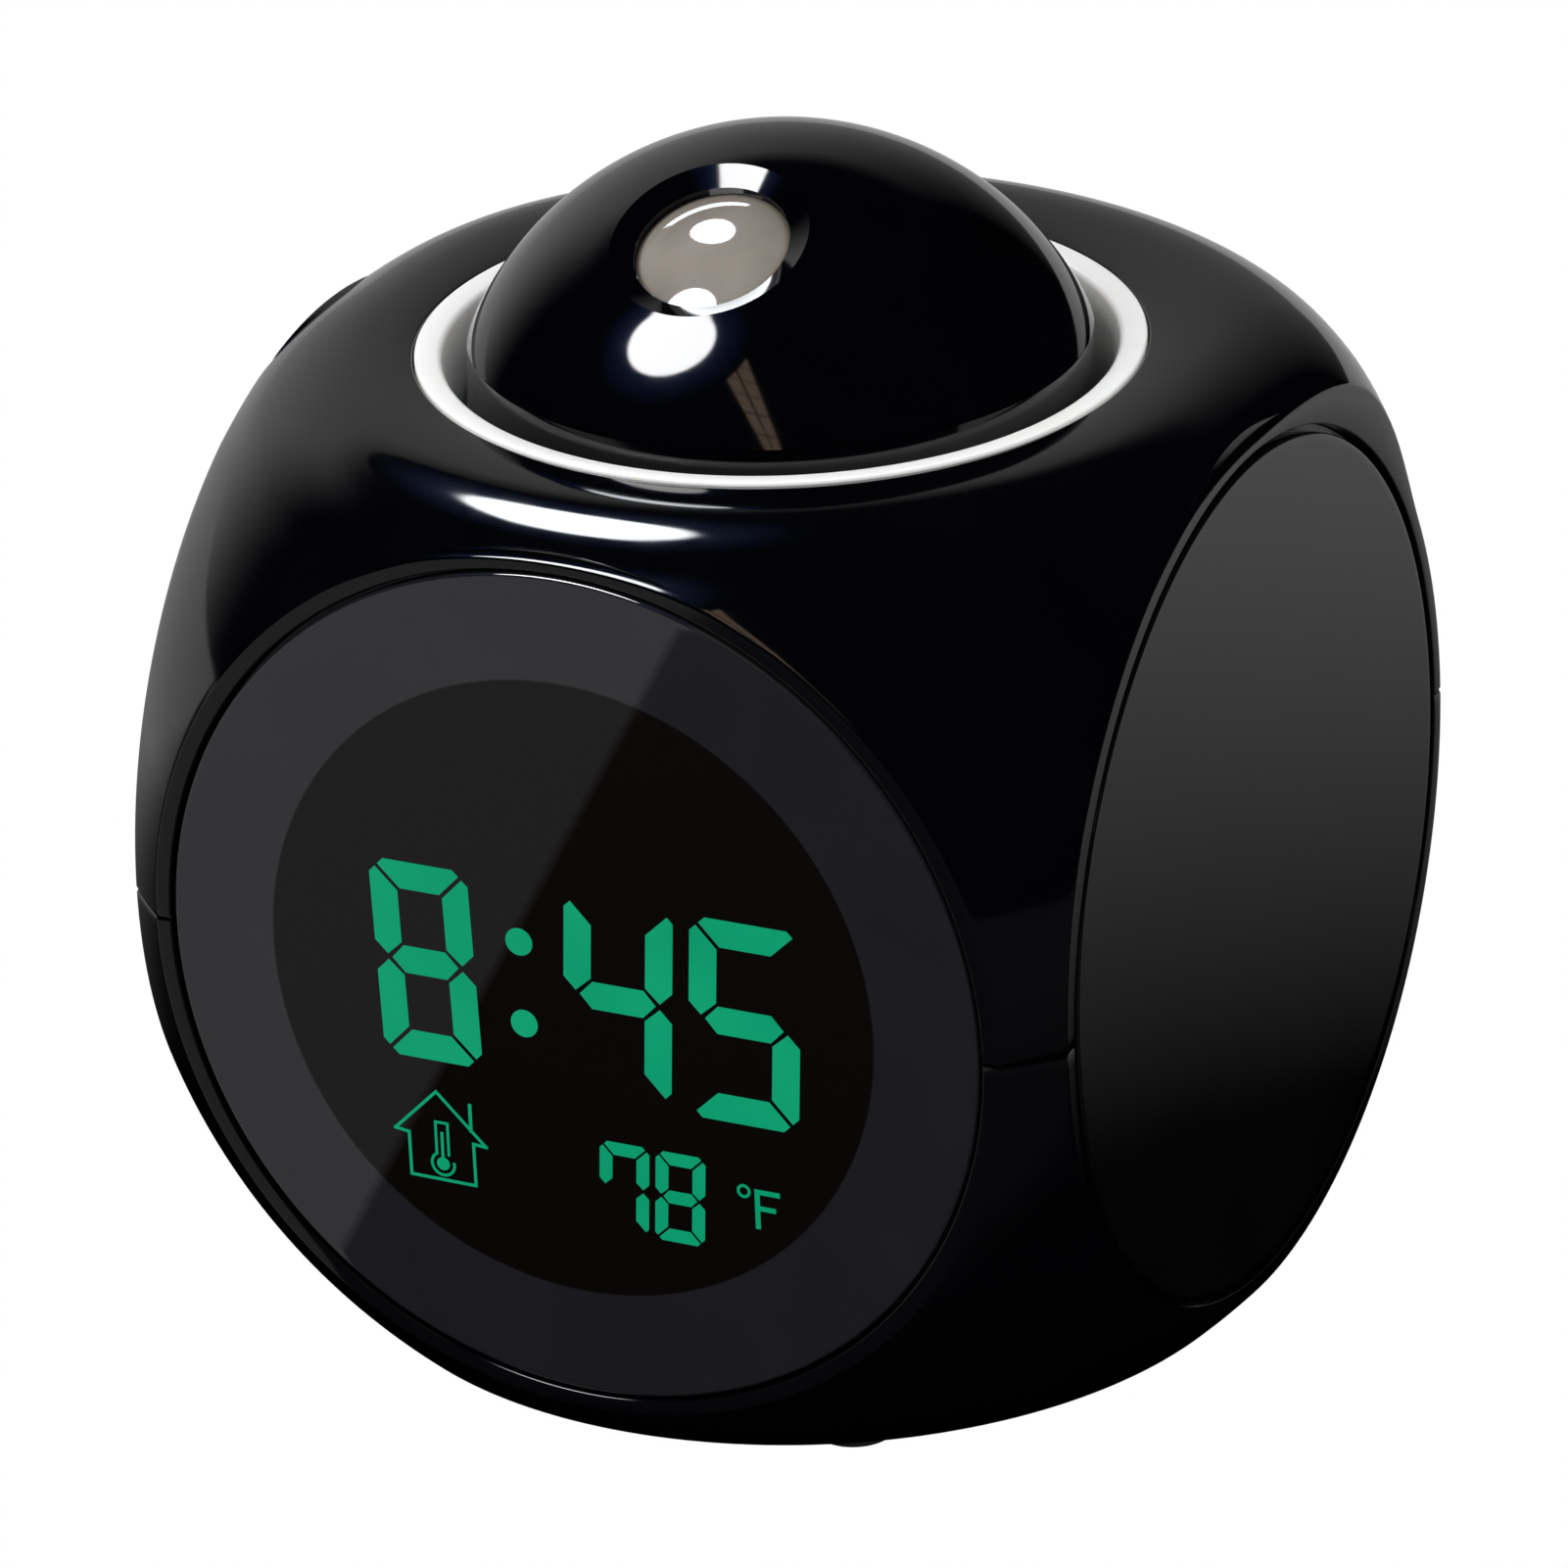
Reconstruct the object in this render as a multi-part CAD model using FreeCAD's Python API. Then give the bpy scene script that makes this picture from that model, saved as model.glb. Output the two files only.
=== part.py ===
import FreeCAD, Part
import math
import os

# Projection alarm clock: a rounded cube case with a round flat disc on each side,
# and a ball shaped projector head that turns in a white ring and can be pressed down.
# Frame: +Z up, the display faces -Y, the origin is the centre of the resting plane.

# Case, measured from its mid plane, where the two shells meet
case_width = 95.0
case_bottom_trim = 0.5
case_top_trim = 2.1
face_land = 1.54
top_rim_inset = 9.5
rim_bite = 0.3
edge_round = 0.5
corner_wall = 2.4
top_wall = 2.6
bottom_wall = 2.4
lip_width = 1.0
lip_height = 1.5
lip_gap = 0.05

# Round discs let into the four upright faces
disc_inset = 6.3
front_disc_gap = 0.4
cover_disc_gap = 0.8
disc_t = 1.8
disc_floor_t = 2.8
disc_edge_round = 0.35
peg_inset = 11.2
peg_r = 1.5
peg_length = 2.4
peg_gap = 0.05

# Feet
foot_r = 4.0
foot_out = 1.0
foot_sunk = 0.8
foot_x = 20.0
foot_inset_y = 14.5

# Case screws and their posts
post_clear = 0.45
post_r = 3.8
post_root = 0.5
case_screw_r = 1.45
case_screw_head_r = 2.6
case_screw_head_h = 2.0
case_screw_bite = 12.0
case_screw_cross_r = 1.4
case_screw_cross_w = 0.6
case_screw_cross_depth = 1.0
counterbore_depth = 17.0
screw_gap = 0.05

# White ring round the projector head
ring_inset = 4.2
ring_lip_w = 2.5
ring_bore_taper = 0.4
ring_proud = 0.35
ring_gap = 0.3
ring_lip_round = 0.7
ring_flange_w = 2.4
ring_flange_t = 1.8
ring_skirt_wall = 1.7
ring_depth = 14.8
ring_post_shift = 0.2
ring_post_r = 2.2
ring_post_angles = (20.0, 160.0, 200.0, 340.0)

# Projector head
dome_over_bore = 0.6
dome_centre_drop = 12.35
dome_wall = 2.0
seam_rise = 0.8
seam_groove = 0.4
spigot_depth = 3.0
spigot_wall = 1.5
spigot_gap = 0.05
spigot_rise = 1.2
cup_top_gap = 2.1
cup_foot_gap = 1.0
cup_wall = 2.2
cup_depth = 16.5
cup_floor_t = 2.0
hub_r = 8.0
hub_bore_r = 5.0
hub_gap = 0.08

# Lens and projector unit, measured along the lens axis from the dome's centre
lens_tilt = 26.7
tunnel_r = 9.4
tunnel_gap = 0.05
tunnel_mouth_r = 9.0
tunnel_lip_r = 7.3
tunnel_lip_t = 0.5
lens_r = 8.2
lens_rim_t = 2.2
lens_bulge = 1.0
lens_gap = 0.05
lens_depth = 5.9
barrel_back = 3.0
barrel_r = 9.2
barrel_bore_r = 7.2
barrel_shoulder_r = 5.6
condenser_at = 8.0
condenser_t = 2.0
condenser_bulge = 0.8
slide_at = 12.0
slide_side = 10.0
slide_t = 1.1
led_board_t = 1.2
led_r = 2.5
led_stem = 1.0
barrel_fit = 0.05
barrel_foot_y = 7.0
barrel_tab_x = 15.0
barrel_tab_t = 2.0
barrel_tab_half_y = 3.0
barrel_boss_r = 3.0
barrel_boss_h = 3.0
barrel_screw_x = 12.2

# Carrier that the head turns on, and the bridge that guides it
press_travel = 1.8
carrier_gap = 1.4
carrier_t = 3.0
thrust_r = 12.0
thrust_h = 0.6
guide_inset = 6.0
guide_r = 2.5
guide_gap = 0.06
guide_boss_r = 4.2
guide_angles = (90.0, 210.0, 330.0)
bridge_t = 3.0
bridge_drop = 5.4
bridge_clear = 1.3
washer_r = 11.0
washer_t = 1.5
washer_play = 0.1
small_screw_r = 0.95
small_screw_head_r = 1.9
small_screw_head_h = 1.2
small_screw_bite = 4.0
small_screw_end_gap = 0.2
guide_head_r = 3.8
guide_head_h = 1.4
spring_r = 13.4
spring_wire_r = 0.5
spring_turns = 3

# Display
window_r = 31.0
lcd_w = 52.0
lcd_h = 46.0
lcd_t = 2.2
guide_plate_t = 3.5
lcd_frame_wall = 2.0
lcd_frame_lip = 1.6
lcd_frame_lip_t = 0.8
lcd_gap = 0.1
lamp_well_w = 4.0
lamp_well_h = 3.0
lamp_well_depth = 1.6
board_over = 1.9
board_t = 1.6
board_hole_in_x = 2.5
board_hole_in_z = 2.2
chip_w = 18.0
chip_h = 16.0
chip_t = 1.0
chip_up = 2.0
coil_w = 6.0
coil_h = 12.0
coil_t = 2.2
coil_up = 2.0
coil_left = 17.0
crystal_r = 1.5
crystal_length = 6.5
crystal_lift = 1.4
crystal_right = 16.0
crystal_drop = 18.0
crystal_foot_w = 5.0
crystal_foot_h = 3.5
crystal_foot_t = 2.0
capacitors = 3
capacitor_r = 2.5
capacitor_length = 5.0
capacitor_pitch = 7.0
capacitor_left = 9.0
capacitor_drop = 14.0

# Rear buttons, their switches and the speaker
buttons = 4
button_r = 3.0
button_below_top = 31.4
button_out = 0.8
button_gap = 0.1
button_flange_r = 4.2
button_flange_t = 1.0
button_well_r = 4.6
button_stem_r = 2.0
button_stem_length = 8.5
button_travel = 0.8
switch_side = 6.0
switch_body_h = 2.8
switch_plunger_r = 1.6
switch_plunger_h = 0.7
switch_clear = 0.1
button_board_gap = 1.8
button_board_margin = 2.0
button_board_h = 12.0
press_switch_body_h = 1.4
press_board_w = 13.0
press_board_d = 9.0
press_board_gap = 2.2
press_board_t = 1.2
speaker_r = 18.0
speaker_drop = 20.0
speaker_depth = 9.0
speaker_rim_w = 2.0
speaker_cone_r = 4.8
speaker_cone_depth = 5.4
speaker_basket_depth = 5.5
speaker_rim_t = 1.6
speaker_magnet_r = 10.0
speaker_hole_r = 15.5
grille_slots = 7
grille_pitch = 4.0
grille_slot_h = 1.6
grille_margin = 1.2

# Battery box
cell_r = 5.2
cell_length = 43.3
cell_nub_r = 1.9
cell_nub_length = 1.1
cell_pitch = 10.9
cell_edge_round = 0.5
cells = 3
contact_t = 0.4
contact_side = 8.0
contact_spring_length = 4.6
contact_spring_r = 2.6
contact_wire_r = 0.35
contact_turns = 3
cell_play = 0.3
box_wall = 2.0
box_roof_t = 1.8
door_t = 1.8
door_ledge = 1.2
door_gap = 0.25
door_pin_r = 0.6
door_pin_length = 1.4
door_pin_gap = 0.05
notch_r = 6.0
notch_depth = 0.9

# Places worked out from the sizes above
half = case_width / 2
case_bottom_drop = half - case_bottom_trim
case_top_rise = half - case_top_trim
disc_pocket_r = half - disc_inset
front_disc_r = disc_pocket_r - front_disc_gap
cover_disc_r = disc_pocket_r - cover_disc_gap
corner_ball_r = math.hypot(half, disc_pocket_r + face_land)
peg_circle_r = disc_pocket_r - peg_inset
foot_y = half - foot_inset_y
top_flat_r = half - top_rim_inset
ring_outer_r = top_flat_r - ring_inset
ring_bore_r = ring_outer_r - ring_lip_w
ring_foot_bore_r = ring_bore_r - ring_bore_taper
ring_flange_r = ring_outer_r + ring_flange_w
ring_post_circle_r = ring_outer_r + ring_post_shift
post_xy = (ring_flange_r + post_r + post_clear) / math.sqrt(2)
dome_r = ring_bore_r + dome_over_bore
cup_top_r = ring_bore_r - cup_top_gap
cup_foot_r = ring_foot_bore_r - cup_foot_gap
barrel_front = dome_r - lens_depth
carrier_r = ring_foot_bore_r - carrier_gap
guide_circle_r = carrier_r - guide_inset
press_board_y = -(spring_r + spring_wire_r + press_board_gap + press_board_d / 2)
bottom_z = foot_out
mid_z = bottom_z + case_bottom_drop
top_z = mid_z + case_top_rise
disc_back = half - disc_t
face_inside = disc_back - disc_floor_t
ring_z = top_z + ring_proud
dome_centre_z = ring_z - dome_centre_drop
seam_z = ring_z + seam_rise
cup_floor_z = seam_z - cup_depth
cup_under_z = cup_floor_z - cup_floor_t
carrier_top_z = cup_under_z - thrust_h
carrier_under_z = carrier_top_z - carrier_t
bridge_top_z = carrier_under_z - bridge_drop
bridge_under_z = bridge_top_z - bridge_t
flange_top_z = top_z - top_wall
flange_under_z = flange_top_z - ring_flange_t
lcd_frame_depth = lcd_frame_lip_t + lcd_t + guide_plate_t
board_front_y = -face_inside + lcd_frame_depth
board_w = lcd_w + 2 * (lcd_gap + lcd_frame_wall)
board_h = lcd_h + 2 * (lcd_gap + lcd_frame_wall + board_over)
button_up = case_top_rise - button_below_top
button_board_w = 2 * (post_xy - post_r - button_board_gap)
button_pitch = (button_board_w - switch_side - 2 * button_board_margin) / (buttons - 1)
stem_end_y = disc_back - button_flange_t - button_stem_length
plunger_tip_y = stem_end_y - button_travel - switch_clear
switch_body_y = plunger_tip_y - switch_plunger_h
button_board_y = switch_body_y - switch_body_h
bridge_half_y = button_board_y - board_t - bridge_clear
door_top_z = bottom_z + door_t
cell_z = door_top_z + cell_play + cell_r
box_roof_z = cell_z + cell_r + cell_play
box_half_x = (cell_length + cell_nub_length + contact_spring_length + 2 * contact_t) / 2
box_half_y = cells * cell_pitch / 2 + cell_play
door_half_x = box_half_x + door_ledge
door_half_y = box_half_y + door_ledge
hinge_y = door_half_y - door_t / 2
hinge_z = bottom_z + door_t / 2

X = FreeCAD.Vector(1, 0, 0)
Y = FreeCAD.Vector(0, 1, 0)
Z = FreeCAD.Vector(0, 0, 1)
ORIGIN = FreeCAD.Vector(0, 0, 0)


def vec(x, y, z):
    return FreeCAD.Vector(x, y, z)


def rod(r, length, start, axis=Z):
    return Part.makeCylinder(r, length, start, axis)


def block(x0, x1, y0, y1, z0, z1):
    return Part.makeBox(x1 - x0, y1 - y0, z1 - z0, vec(x0, y0, z0))


def polar(r, angle, z):
    a = math.radians(angle)
    return vec(r * math.cos(a), r * math.sin(a), z)


def join(shapes):
    return shapes[0].multiFuse(shapes[1:]).removeSplitter()


def turned(edges):
    """Turn a closed outline in the XZ plane about the Z axis."""
    face = Part.Face(Part.Wire(edges))
    return face.revolve(ORIGIN, Z, 360)


def outline(points):
    """Straight edges through (radius, height) points, closed."""
    corners = [vec(r, 0, z) for r, z in points]
    return [Part.LineSegment(a, b).toShape() for a, b in zip(corners, corners[1:] + corners[:1])]


def turned_points(points):
    return turned(outline(points))


def line(a, b):
    return Part.LineSegment(a, b).toShape()


def arc(a, b, centre, r):
    """The short arc from a to b about a centre."""
    middle = (a + b) * 0.5 - centre
    middle.normalize()
    return Part.Arc(a, centre + middle * r, b).toShape()


def round_edges(shape, radius, wanted):
    edges = [edge for edge in shape.Edges if wanted(edge)]
    return shape.makeFillet(radius, edges)


def slot(x_half, height, y0, y1, z):
    """A straight slot with round ends, cut along Y."""
    r = height / 2
    run = x_half - r
    middle = block(-run, run, y0, y1, z - r, z + r)
    ends = [rod(r, y1 - y0, vec(x, y0, z), Y) for x in (-run, run)]
    return join([middle] + ends)


def bend(start, way, end):
    """Arc from start to end that leaves start along way."""
    chord = end - start
    turn = way.getAngle(chord)
    reach = chord.Length / (2 * math.cos(turn))
    corner = start + way * reach
    middle = start + chord * 0.5
    side = (corner - middle).normalize()
    return Part.Arc(start, middle + side * (chord.Length / 2 * math.tan(turn / 2)), end).toShape()


def helix_point(r, rise, angle):
    """A point on a helix about Z and the direction in which the wire runs there."""
    place = vec(r * math.cos(angle), r * math.sin(angle), rise * angle / (2 * math.pi))
    way = vec(-r * math.sin(angle), r * math.cos(angle), rise / (2 * math.pi)).normalize()
    return place, way


def coil(r, wire_r, turns, length, base):
    """A compression spring: one unbroken wire along +Z from base, in pairs of smooth arcs."""
    rise = (length - 2 * wire_r) / turns
    steps = 4 * turns
    arcs = []
    for i in range(steps):
        p0, t0 = helix_point(r, rise, i * math.pi / 2)
        p1, t1 = helix_point(r, rise, (i + 1) * math.pi / 2)
        chord = p1 - p0
        both = t0 + t1
        spread = 2 * (1 - t0.dot(t1))
        run = (-chord.dot(both) + math.sqrt(chord.dot(both) ** 2 + spread * chord.dot(chord))) / spread
        joint = (p0 + p1 + (t0 - t1) * run) * 0.5
        arcs.append(bend(p0, t0, joint))
        back = bend(p1, t1 * -1, joint)
        back.reverse()
        arcs.append(back)
    start, way = helix_point(r, rise, 0)
    ring = Part.Wire(Part.Circle(start, way, wire_r).toShape())
    pipe = Part.Wire(arcs).makePipeShell([ring], True, False)
    pipe.translate(base + Z * wire_r)
    print("coil gap between turns", round(rise - 2 * wire_r, 2))
    return pipe


def soft_rim(ball, top, low):
    """Turned form that takes the hard edge off the cube's top: flat, then a round rim, then sloping."""
    touching_r = (ball ** 2 - top_flat_r ** 2 - top ** 2) / (2 * (ball - top))
    rim_r = touching_r - rim_bite
    centre = vec(top_flat_r, 0, top - rim_r)
    out = centre * (1 / centre.Length)
    down = vec(out.z, 0, -out.x)
    leave = centre + out * rim_r
    foot = leave + down * (leave.z / out.x)
    edges = [
        line(vec(0, 0, -low), vec(foot.x, 0, -low)),
        line(vec(foot.x, 0, -low), foot),
        line(foot, leave),
        arc(leave, vec(top_flat_r, 0, top), centre, rim_r),
        line(vec(top_flat_r, 0, top), vec(0, 0, top)),
        line(vec(0, 0, top), vec(0, 0, -low)),
    ]
    return turned(edges)


def rounded_cube(side_in, top_in, bottom_in, ball_in, edge_r=0):
    """The case's form, drawn in by the given amounts: a cube cut by a ball, with a soft top rim."""
    ball = corner_ball_r - ball_in
    top = case_top_rise - top_in
    low = case_bottom_drop - bottom_in
    reach = half - side_in
    cube = block(-reach, reach, -reach, reach, -low, top + rim_bite)
    form = Part.makeSphere(ball).common(cube)
    if edge_r:
        form = round_edges(form, edge_r, lambda e: e.BoundBox.ZMax < top)
    form = form.common(soft_rim(ball, top, low + 1))
    form.translate(Z * mid_z)
    return form


def case_form():
    return rounded_cube(0, 0, 0, 0, edge_round)


def cavity():
    return rounded_cube(half - face_inside, top_wall, bottom_wall, corner_wall)


def lip_band(gap):
    """The low wall on the lower shell's rim, grown by a gap on every side."""
    grown = rounded_cube(half - face_inside - lip_width - gap, top_wall, bottom_wall,
                         corner_wall - lip_width - gap)
    reach = corner_ball_r
    slab = block(-reach, reach, -reach, reach, mid_z, mid_z + lip_height + gap)
    return grown.common(slab).cut(cavity())


def face_cuts():
    """Pockets for the four discs and what opens through their floors."""
    cuts = []
    for axis in (X, Y, X * -1, Y * -1):
        cuts.append(rod(disc_pocket_r, disc_t + 1, axis * disc_back + Z * mid_z, axis))
    cuts.append(rod(window_r, disc_floor_t + lip_width, vec(0, -face_inside + lip_width, mid_z), Y * -1))
    cuts.append(rod(speaker_hole_r, disc_floor_t + lip_width,
                    vec(0, face_inside - lip_width, mid_z - speaker_drop), Y))
    for x in button_places():
        start = vec(x, face_inside - lip_width, mid_z + button_up)
        cuts.append(rod(button_well_r, disc_floor_t + lip_width, start, Y))
    for axis in (X, X * -1, Y):
        for place in peg_places(axis):
            cuts.append(rod(peg_r + peg_gap, disc_floor_t + lip_width, place - axis * lip_width, axis))
    return cuts


def peg_places(axis):
    """Centres of a disc's locating pegs, on the inner side of its floor."""
    across = Z.cross(axis)
    step = peg_circle_r / math.sqrt(2)
    places = []
    for side in (-1, 1):
        for level in (-1, 1):
            places.append(axis * face_inside + across * (side * step) + Z * (mid_z + level * step))
    return places


def post_places():
    return [(x, y) for x in (-post_xy, post_xy) for y in (-post_xy, post_xy)]


def button_places():
    return [(i - (buttons - 1) / 2) * button_pitch for i in range(buttons)]


def lower_shell():
    reach = corner_ball_r
    body = case_form().common(block(-reach, reach, -reach, reach, 0, mid_z))
    shell = body.cut(cavity())
    box_x = box_half_x + box_wall
    box_y = box_half_y + box_wall
    adds = [lip_band(0), block(-box_x, box_x, -box_y, box_y, bottom_z + bottom_wall / 2,
                               box_roof_z + box_roof_t)]
    for x, y in post_places():
        adds.append(rod(post_r, case_bottom_drop - bottom_wall / 2, vec(x, y, bottom_z + bottom_wall / 2)))
    shell = join([shell] + adds)
    cuts = face_cuts()
    cuts.append(block(-box_half_x, box_half_x, -box_half_y, box_half_y, bottom_z - 1, box_roof_z))
    wide = door_half_x + door_gap
    deep = door_half_y + door_gap
    cuts.append(block(-wide, wide, -deep, deep, bottom_z - 1, door_top_z))
    pin = door_pin_length + door_gap
    cuts.append(rod(door_pin_r + door_pin_gap, 2 * (door_half_x + pin),
                    vec(-door_half_x - pin, hinge_y, hinge_z), X))
    for x, y in post_places():
        cuts.append(rod(case_screw_r + screw_gap, case_bottom_drop, vec(x, y, bottom_z)))
        cuts.append(rod(case_screw_head_r + 4 * screw_gap, counterbore_depth + 1, vec(x, y, bottom_z - 1)))
    for x in (-foot_x, foot_x):
        for y in (-foot_y, foot_y):
            cuts.append(rod(foot_r + peg_gap, foot_sunk + 1, vec(x, y, bottom_z - 1)))
    return shell.cut(join(cuts))


def upper_shell():
    reach = corner_ball_r
    body = case_form().common(block(-reach, reach, -reach, reach, mid_z, top_z + 1))
    posts = []
    for x, y in post_places():
        posts.append(rod(post_r, case_top_rise - top_wall + post_root, vec(x, y, mid_z)))
    shell = join([body.cut(cavity())] + posts)
    cuts = face_cuts()
    cuts.append(lip_band(lip_gap))
    cuts.append(rod(ring_outer_r + ring_gap, top_wall + 1, vec(0, 0, flange_top_z - 0.5)))
    for x, y in post_places():
        cuts.append(rod(case_screw_r + screw_gap, case_screw_bite + 1, vec(x, y, mid_z)))
    return shell.cut(join(cuts))


def case_screws():
    shoulder = bottom_z + counterbore_depth
    length = mid_z + case_screw_bite - shoulder
    screws = []
    for x, y in post_places():
        head = rod(case_screw_head_r, case_screw_head_h, vec(x, y, shoulder - case_screw_head_h))
        low = shoulder - case_screw_head_h - 1
        high = shoulder - case_screw_head_h + case_screw_cross_depth
        r = case_screw_cross_r
        w = case_screw_cross_w / 2
        cross = join([block(x - r, x + r, y - w, y + w, low, high),
                      block(x - w, x + w, y - r, y + r, low, high)])
        screws.append(join([head, rod(case_screw_r, length, vec(x, y, shoulder))]).cut(cross))
    return Part.makeCompound(screws)


def feet():
    pads = []
    for x in (-foot_x, foot_x):
        for y in (-foot_y, foot_y):
            pad = rod(foot_r, foot_out + foot_sunk, vec(x, y, 0))
            pads.append(round_edges(pad, foot_out / 2, lambda e: e.BoundBox.ZMax < foot_out / 2))
    return Part.makeCompound(pads)


def face_disc(r, axis):
    disc = rod(r, disc_t, axis * disc_back + Z * mid_z, axis)
    outer = axis * half

    def on_outer_edge(edge):
        centre = edge.BoundBox.Center
        return abs(centre.dot(axis) - outer.Length) < 0.001 and edge.BoundBox.DiagonalLength > r
    return round_edges(disc, disc_edge_round, on_outer_edge)


def pegs(axis):
    start = disc_floor_t - peg_length
    return [rod(peg_r, peg_length, place + axis * start, axis) for place in peg_places(axis)]


def display_lens():
    return face_disc(front_disc_r, Y * -1)


def side_cover(axis):
    return join([face_disc(cover_disc_r, axis)] + pegs(axis))


def rear_panel():
    panel = join([face_disc(cover_disc_r, Y)] + pegs(Y))
    cuts = []
    for x in button_places():
        cuts.append(rod(button_r + button_gap, disc_t + 2, vec(x, disc_back - 1, mid_z + button_up), Y))
    inner_r = speaker_hole_r - grille_margin
    for i in range(grille_slots):
        offset = (i - (grille_slots - 1) / 2) * grille_pitch
        x_half = math.sqrt(inner_r ** 2 - offset ** 2)
        level = mid_z - speaker_drop + offset
        cuts.append(slot(x_half, grille_slot_h, disc_back - 1, half + 1, level))
    return panel.cut(join(cuts))


def push_button(x):
    z = mid_z + button_up
    flange_y = disc_back - button_flange_t
    cap = rod(button_r, disc_t + button_out, vec(x, disc_back, z), Y)
    cap = round_edges(cap, button_out / 3, lambda e: e.BoundBox.YMin > half)
    flange = rod(button_flange_r, button_flange_t, vec(x, flange_y, z), Y)
    stem = rod(button_stem_r, button_stem_length, vec(x, flange_y - button_stem_length, z), Y)
    return join([cap, flange, stem])


def switch_board():
    """Board behind the rear buttons, with a small switch under each stem."""
    body_y = switch_body_y
    board_y = button_board_y
    z = mid_z + button_up
    parts = [block(-button_board_w / 2, button_board_w / 2, board_y - board_t, board_y,
                   z - button_board_h / 2, z + button_board_h / 2)]
    s = switch_side / 2
    for x in button_places():
        parts.append(block(x - s, x + s, board_y, body_y, z - s, z + s))
        parts.append(rod(switch_plunger_r, switch_plunger_h, vec(x, body_y, z), Y))
    ledge = button_board_w / 2
    for side in (-1, 1):
        x0 = side * ledge
        x1 = side * (ledge - button_board_margin)
        parts.append(block(min(x0, x1), max(x0, x1), board_y, face_inside,
                           z - button_board_margin, z + button_board_margin))
    return join(parts)


def speaker():
    y0 = face_inside
    z = mid_z - speaker_drop
    rim = speaker_r - speaker_rim_w
    points = [
        (0, speaker_cone_depth), (speaker_cone_r, speaker_cone_depth), (rim, speaker_rim_t),
        (rim, 0), (speaker_r, 0), (speaker_r, speaker_rim_t), (speaker_magnet_r, speaker_basket_depth),
        (speaker_magnet_r, speaker_depth), (0, speaker_depth),
    ]
    form = turned_points(points)
    form.rotate(ORIGIN, X, 90)
    form.translate(vec(0, y0, z))
    return form


def rim_frame():
    """Frame that holds the display glass and its light guide against the case front."""
    w = lcd_w / 2 + lcd_gap
    h = lcd_h / 2 + lcd_gap
    y0 = -face_inside
    wall = lcd_frame_wall
    body = block(-w - wall, w + wall, y0, board_front_y, mid_z - h - wall, mid_z + h + wall)
    inner = block(-w, w, y0 + lcd_frame_lip_t, board_front_y + 1, mid_z - h, mid_z + h)
    lip = lcd_frame_lip
    view = block(-w + lip, w - lip, y0 - 1, board_front_y, mid_z - h + lip, mid_z + h - lip)
    return body.cut(join([inner, view]))


def display_glass():
    y0 = -face_inside + lcd_frame_lip_t
    return block(-lcd_w / 2, lcd_w / 2, y0, y0 + lcd_t, mid_z - lcd_h / 2, mid_z + lcd_h / 2)


def light_guide():
    y0 = -face_inside + lcd_frame_lip_t + lcd_t
    plate = block(-lcd_w / 2, lcd_w / 2, y0, y0 + guide_plate_t, mid_z - lcd_h / 2, mid_z + lcd_h / 2)
    low = mid_z - lcd_h / 2
    w = lamp_well_w / 2
    floor = y0 + guide_plate_t - lamp_well_depth
    wells = [block(x - w, x + w, floor, y0 + guide_plate_t + 1, low - 1, low + lamp_well_h)
             for x in (-lcd_w / 4, lcd_w / 4)]
    return plate.cut(join(wells))


def main_board():
    y0 = board_front_y
    y1 = y0 + board_t
    w = board_w / 2
    h = board_h / 2
    parts = [block(-w, w, y0, y1, mid_z - h, mid_z + h)]
    chip_z = mid_z + chip_up
    parts.append(block(-chip_w / 2, chip_w / 2, y1, y1 + chip_t, chip_z - chip_h / 2, chip_z + chip_h / 2))
    coil_z = mid_z + coil_up
    parts.append(block(-coil_left - coil_w / 2, -coil_left + coil_w / 2, y1, y1 + coil_t,
                       coil_z - coil_h / 2, coil_z + coil_h / 2))
    foot_z = mid_z - crystal_drop
    parts.append(block(crystal_right - crystal_foot_w / 2, crystal_right + crystal_foot_w / 2,
                       y1, y1 + crystal_foot_t, foot_z, foot_z + crystal_foot_h))
    parts.append(rod(crystal_r, crystal_length, vec(crystal_right, y1 + crystal_lift, foot_z + crystal_foot_t)))
    for i in range(capacitors):
        x = (i - (capacitors - 1) / 2) * capacitor_pitch - capacitor_left
        parts.append(rod(capacitor_r, capacitor_length, vec(x, y1, mid_z - capacitor_drop), Y))
    board = join(parts)
    holes = [rod(small_screw_r + screw_gap, board_t + 2, vec(x, y0 - 1, mid_z + z), Y)
             for x in (board_hole_in_x - w, w - board_hole_in_x)
             for z in (board_hole_in_z - h, h - board_hole_in_z)]
    return board.cut(join(holes))


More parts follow.
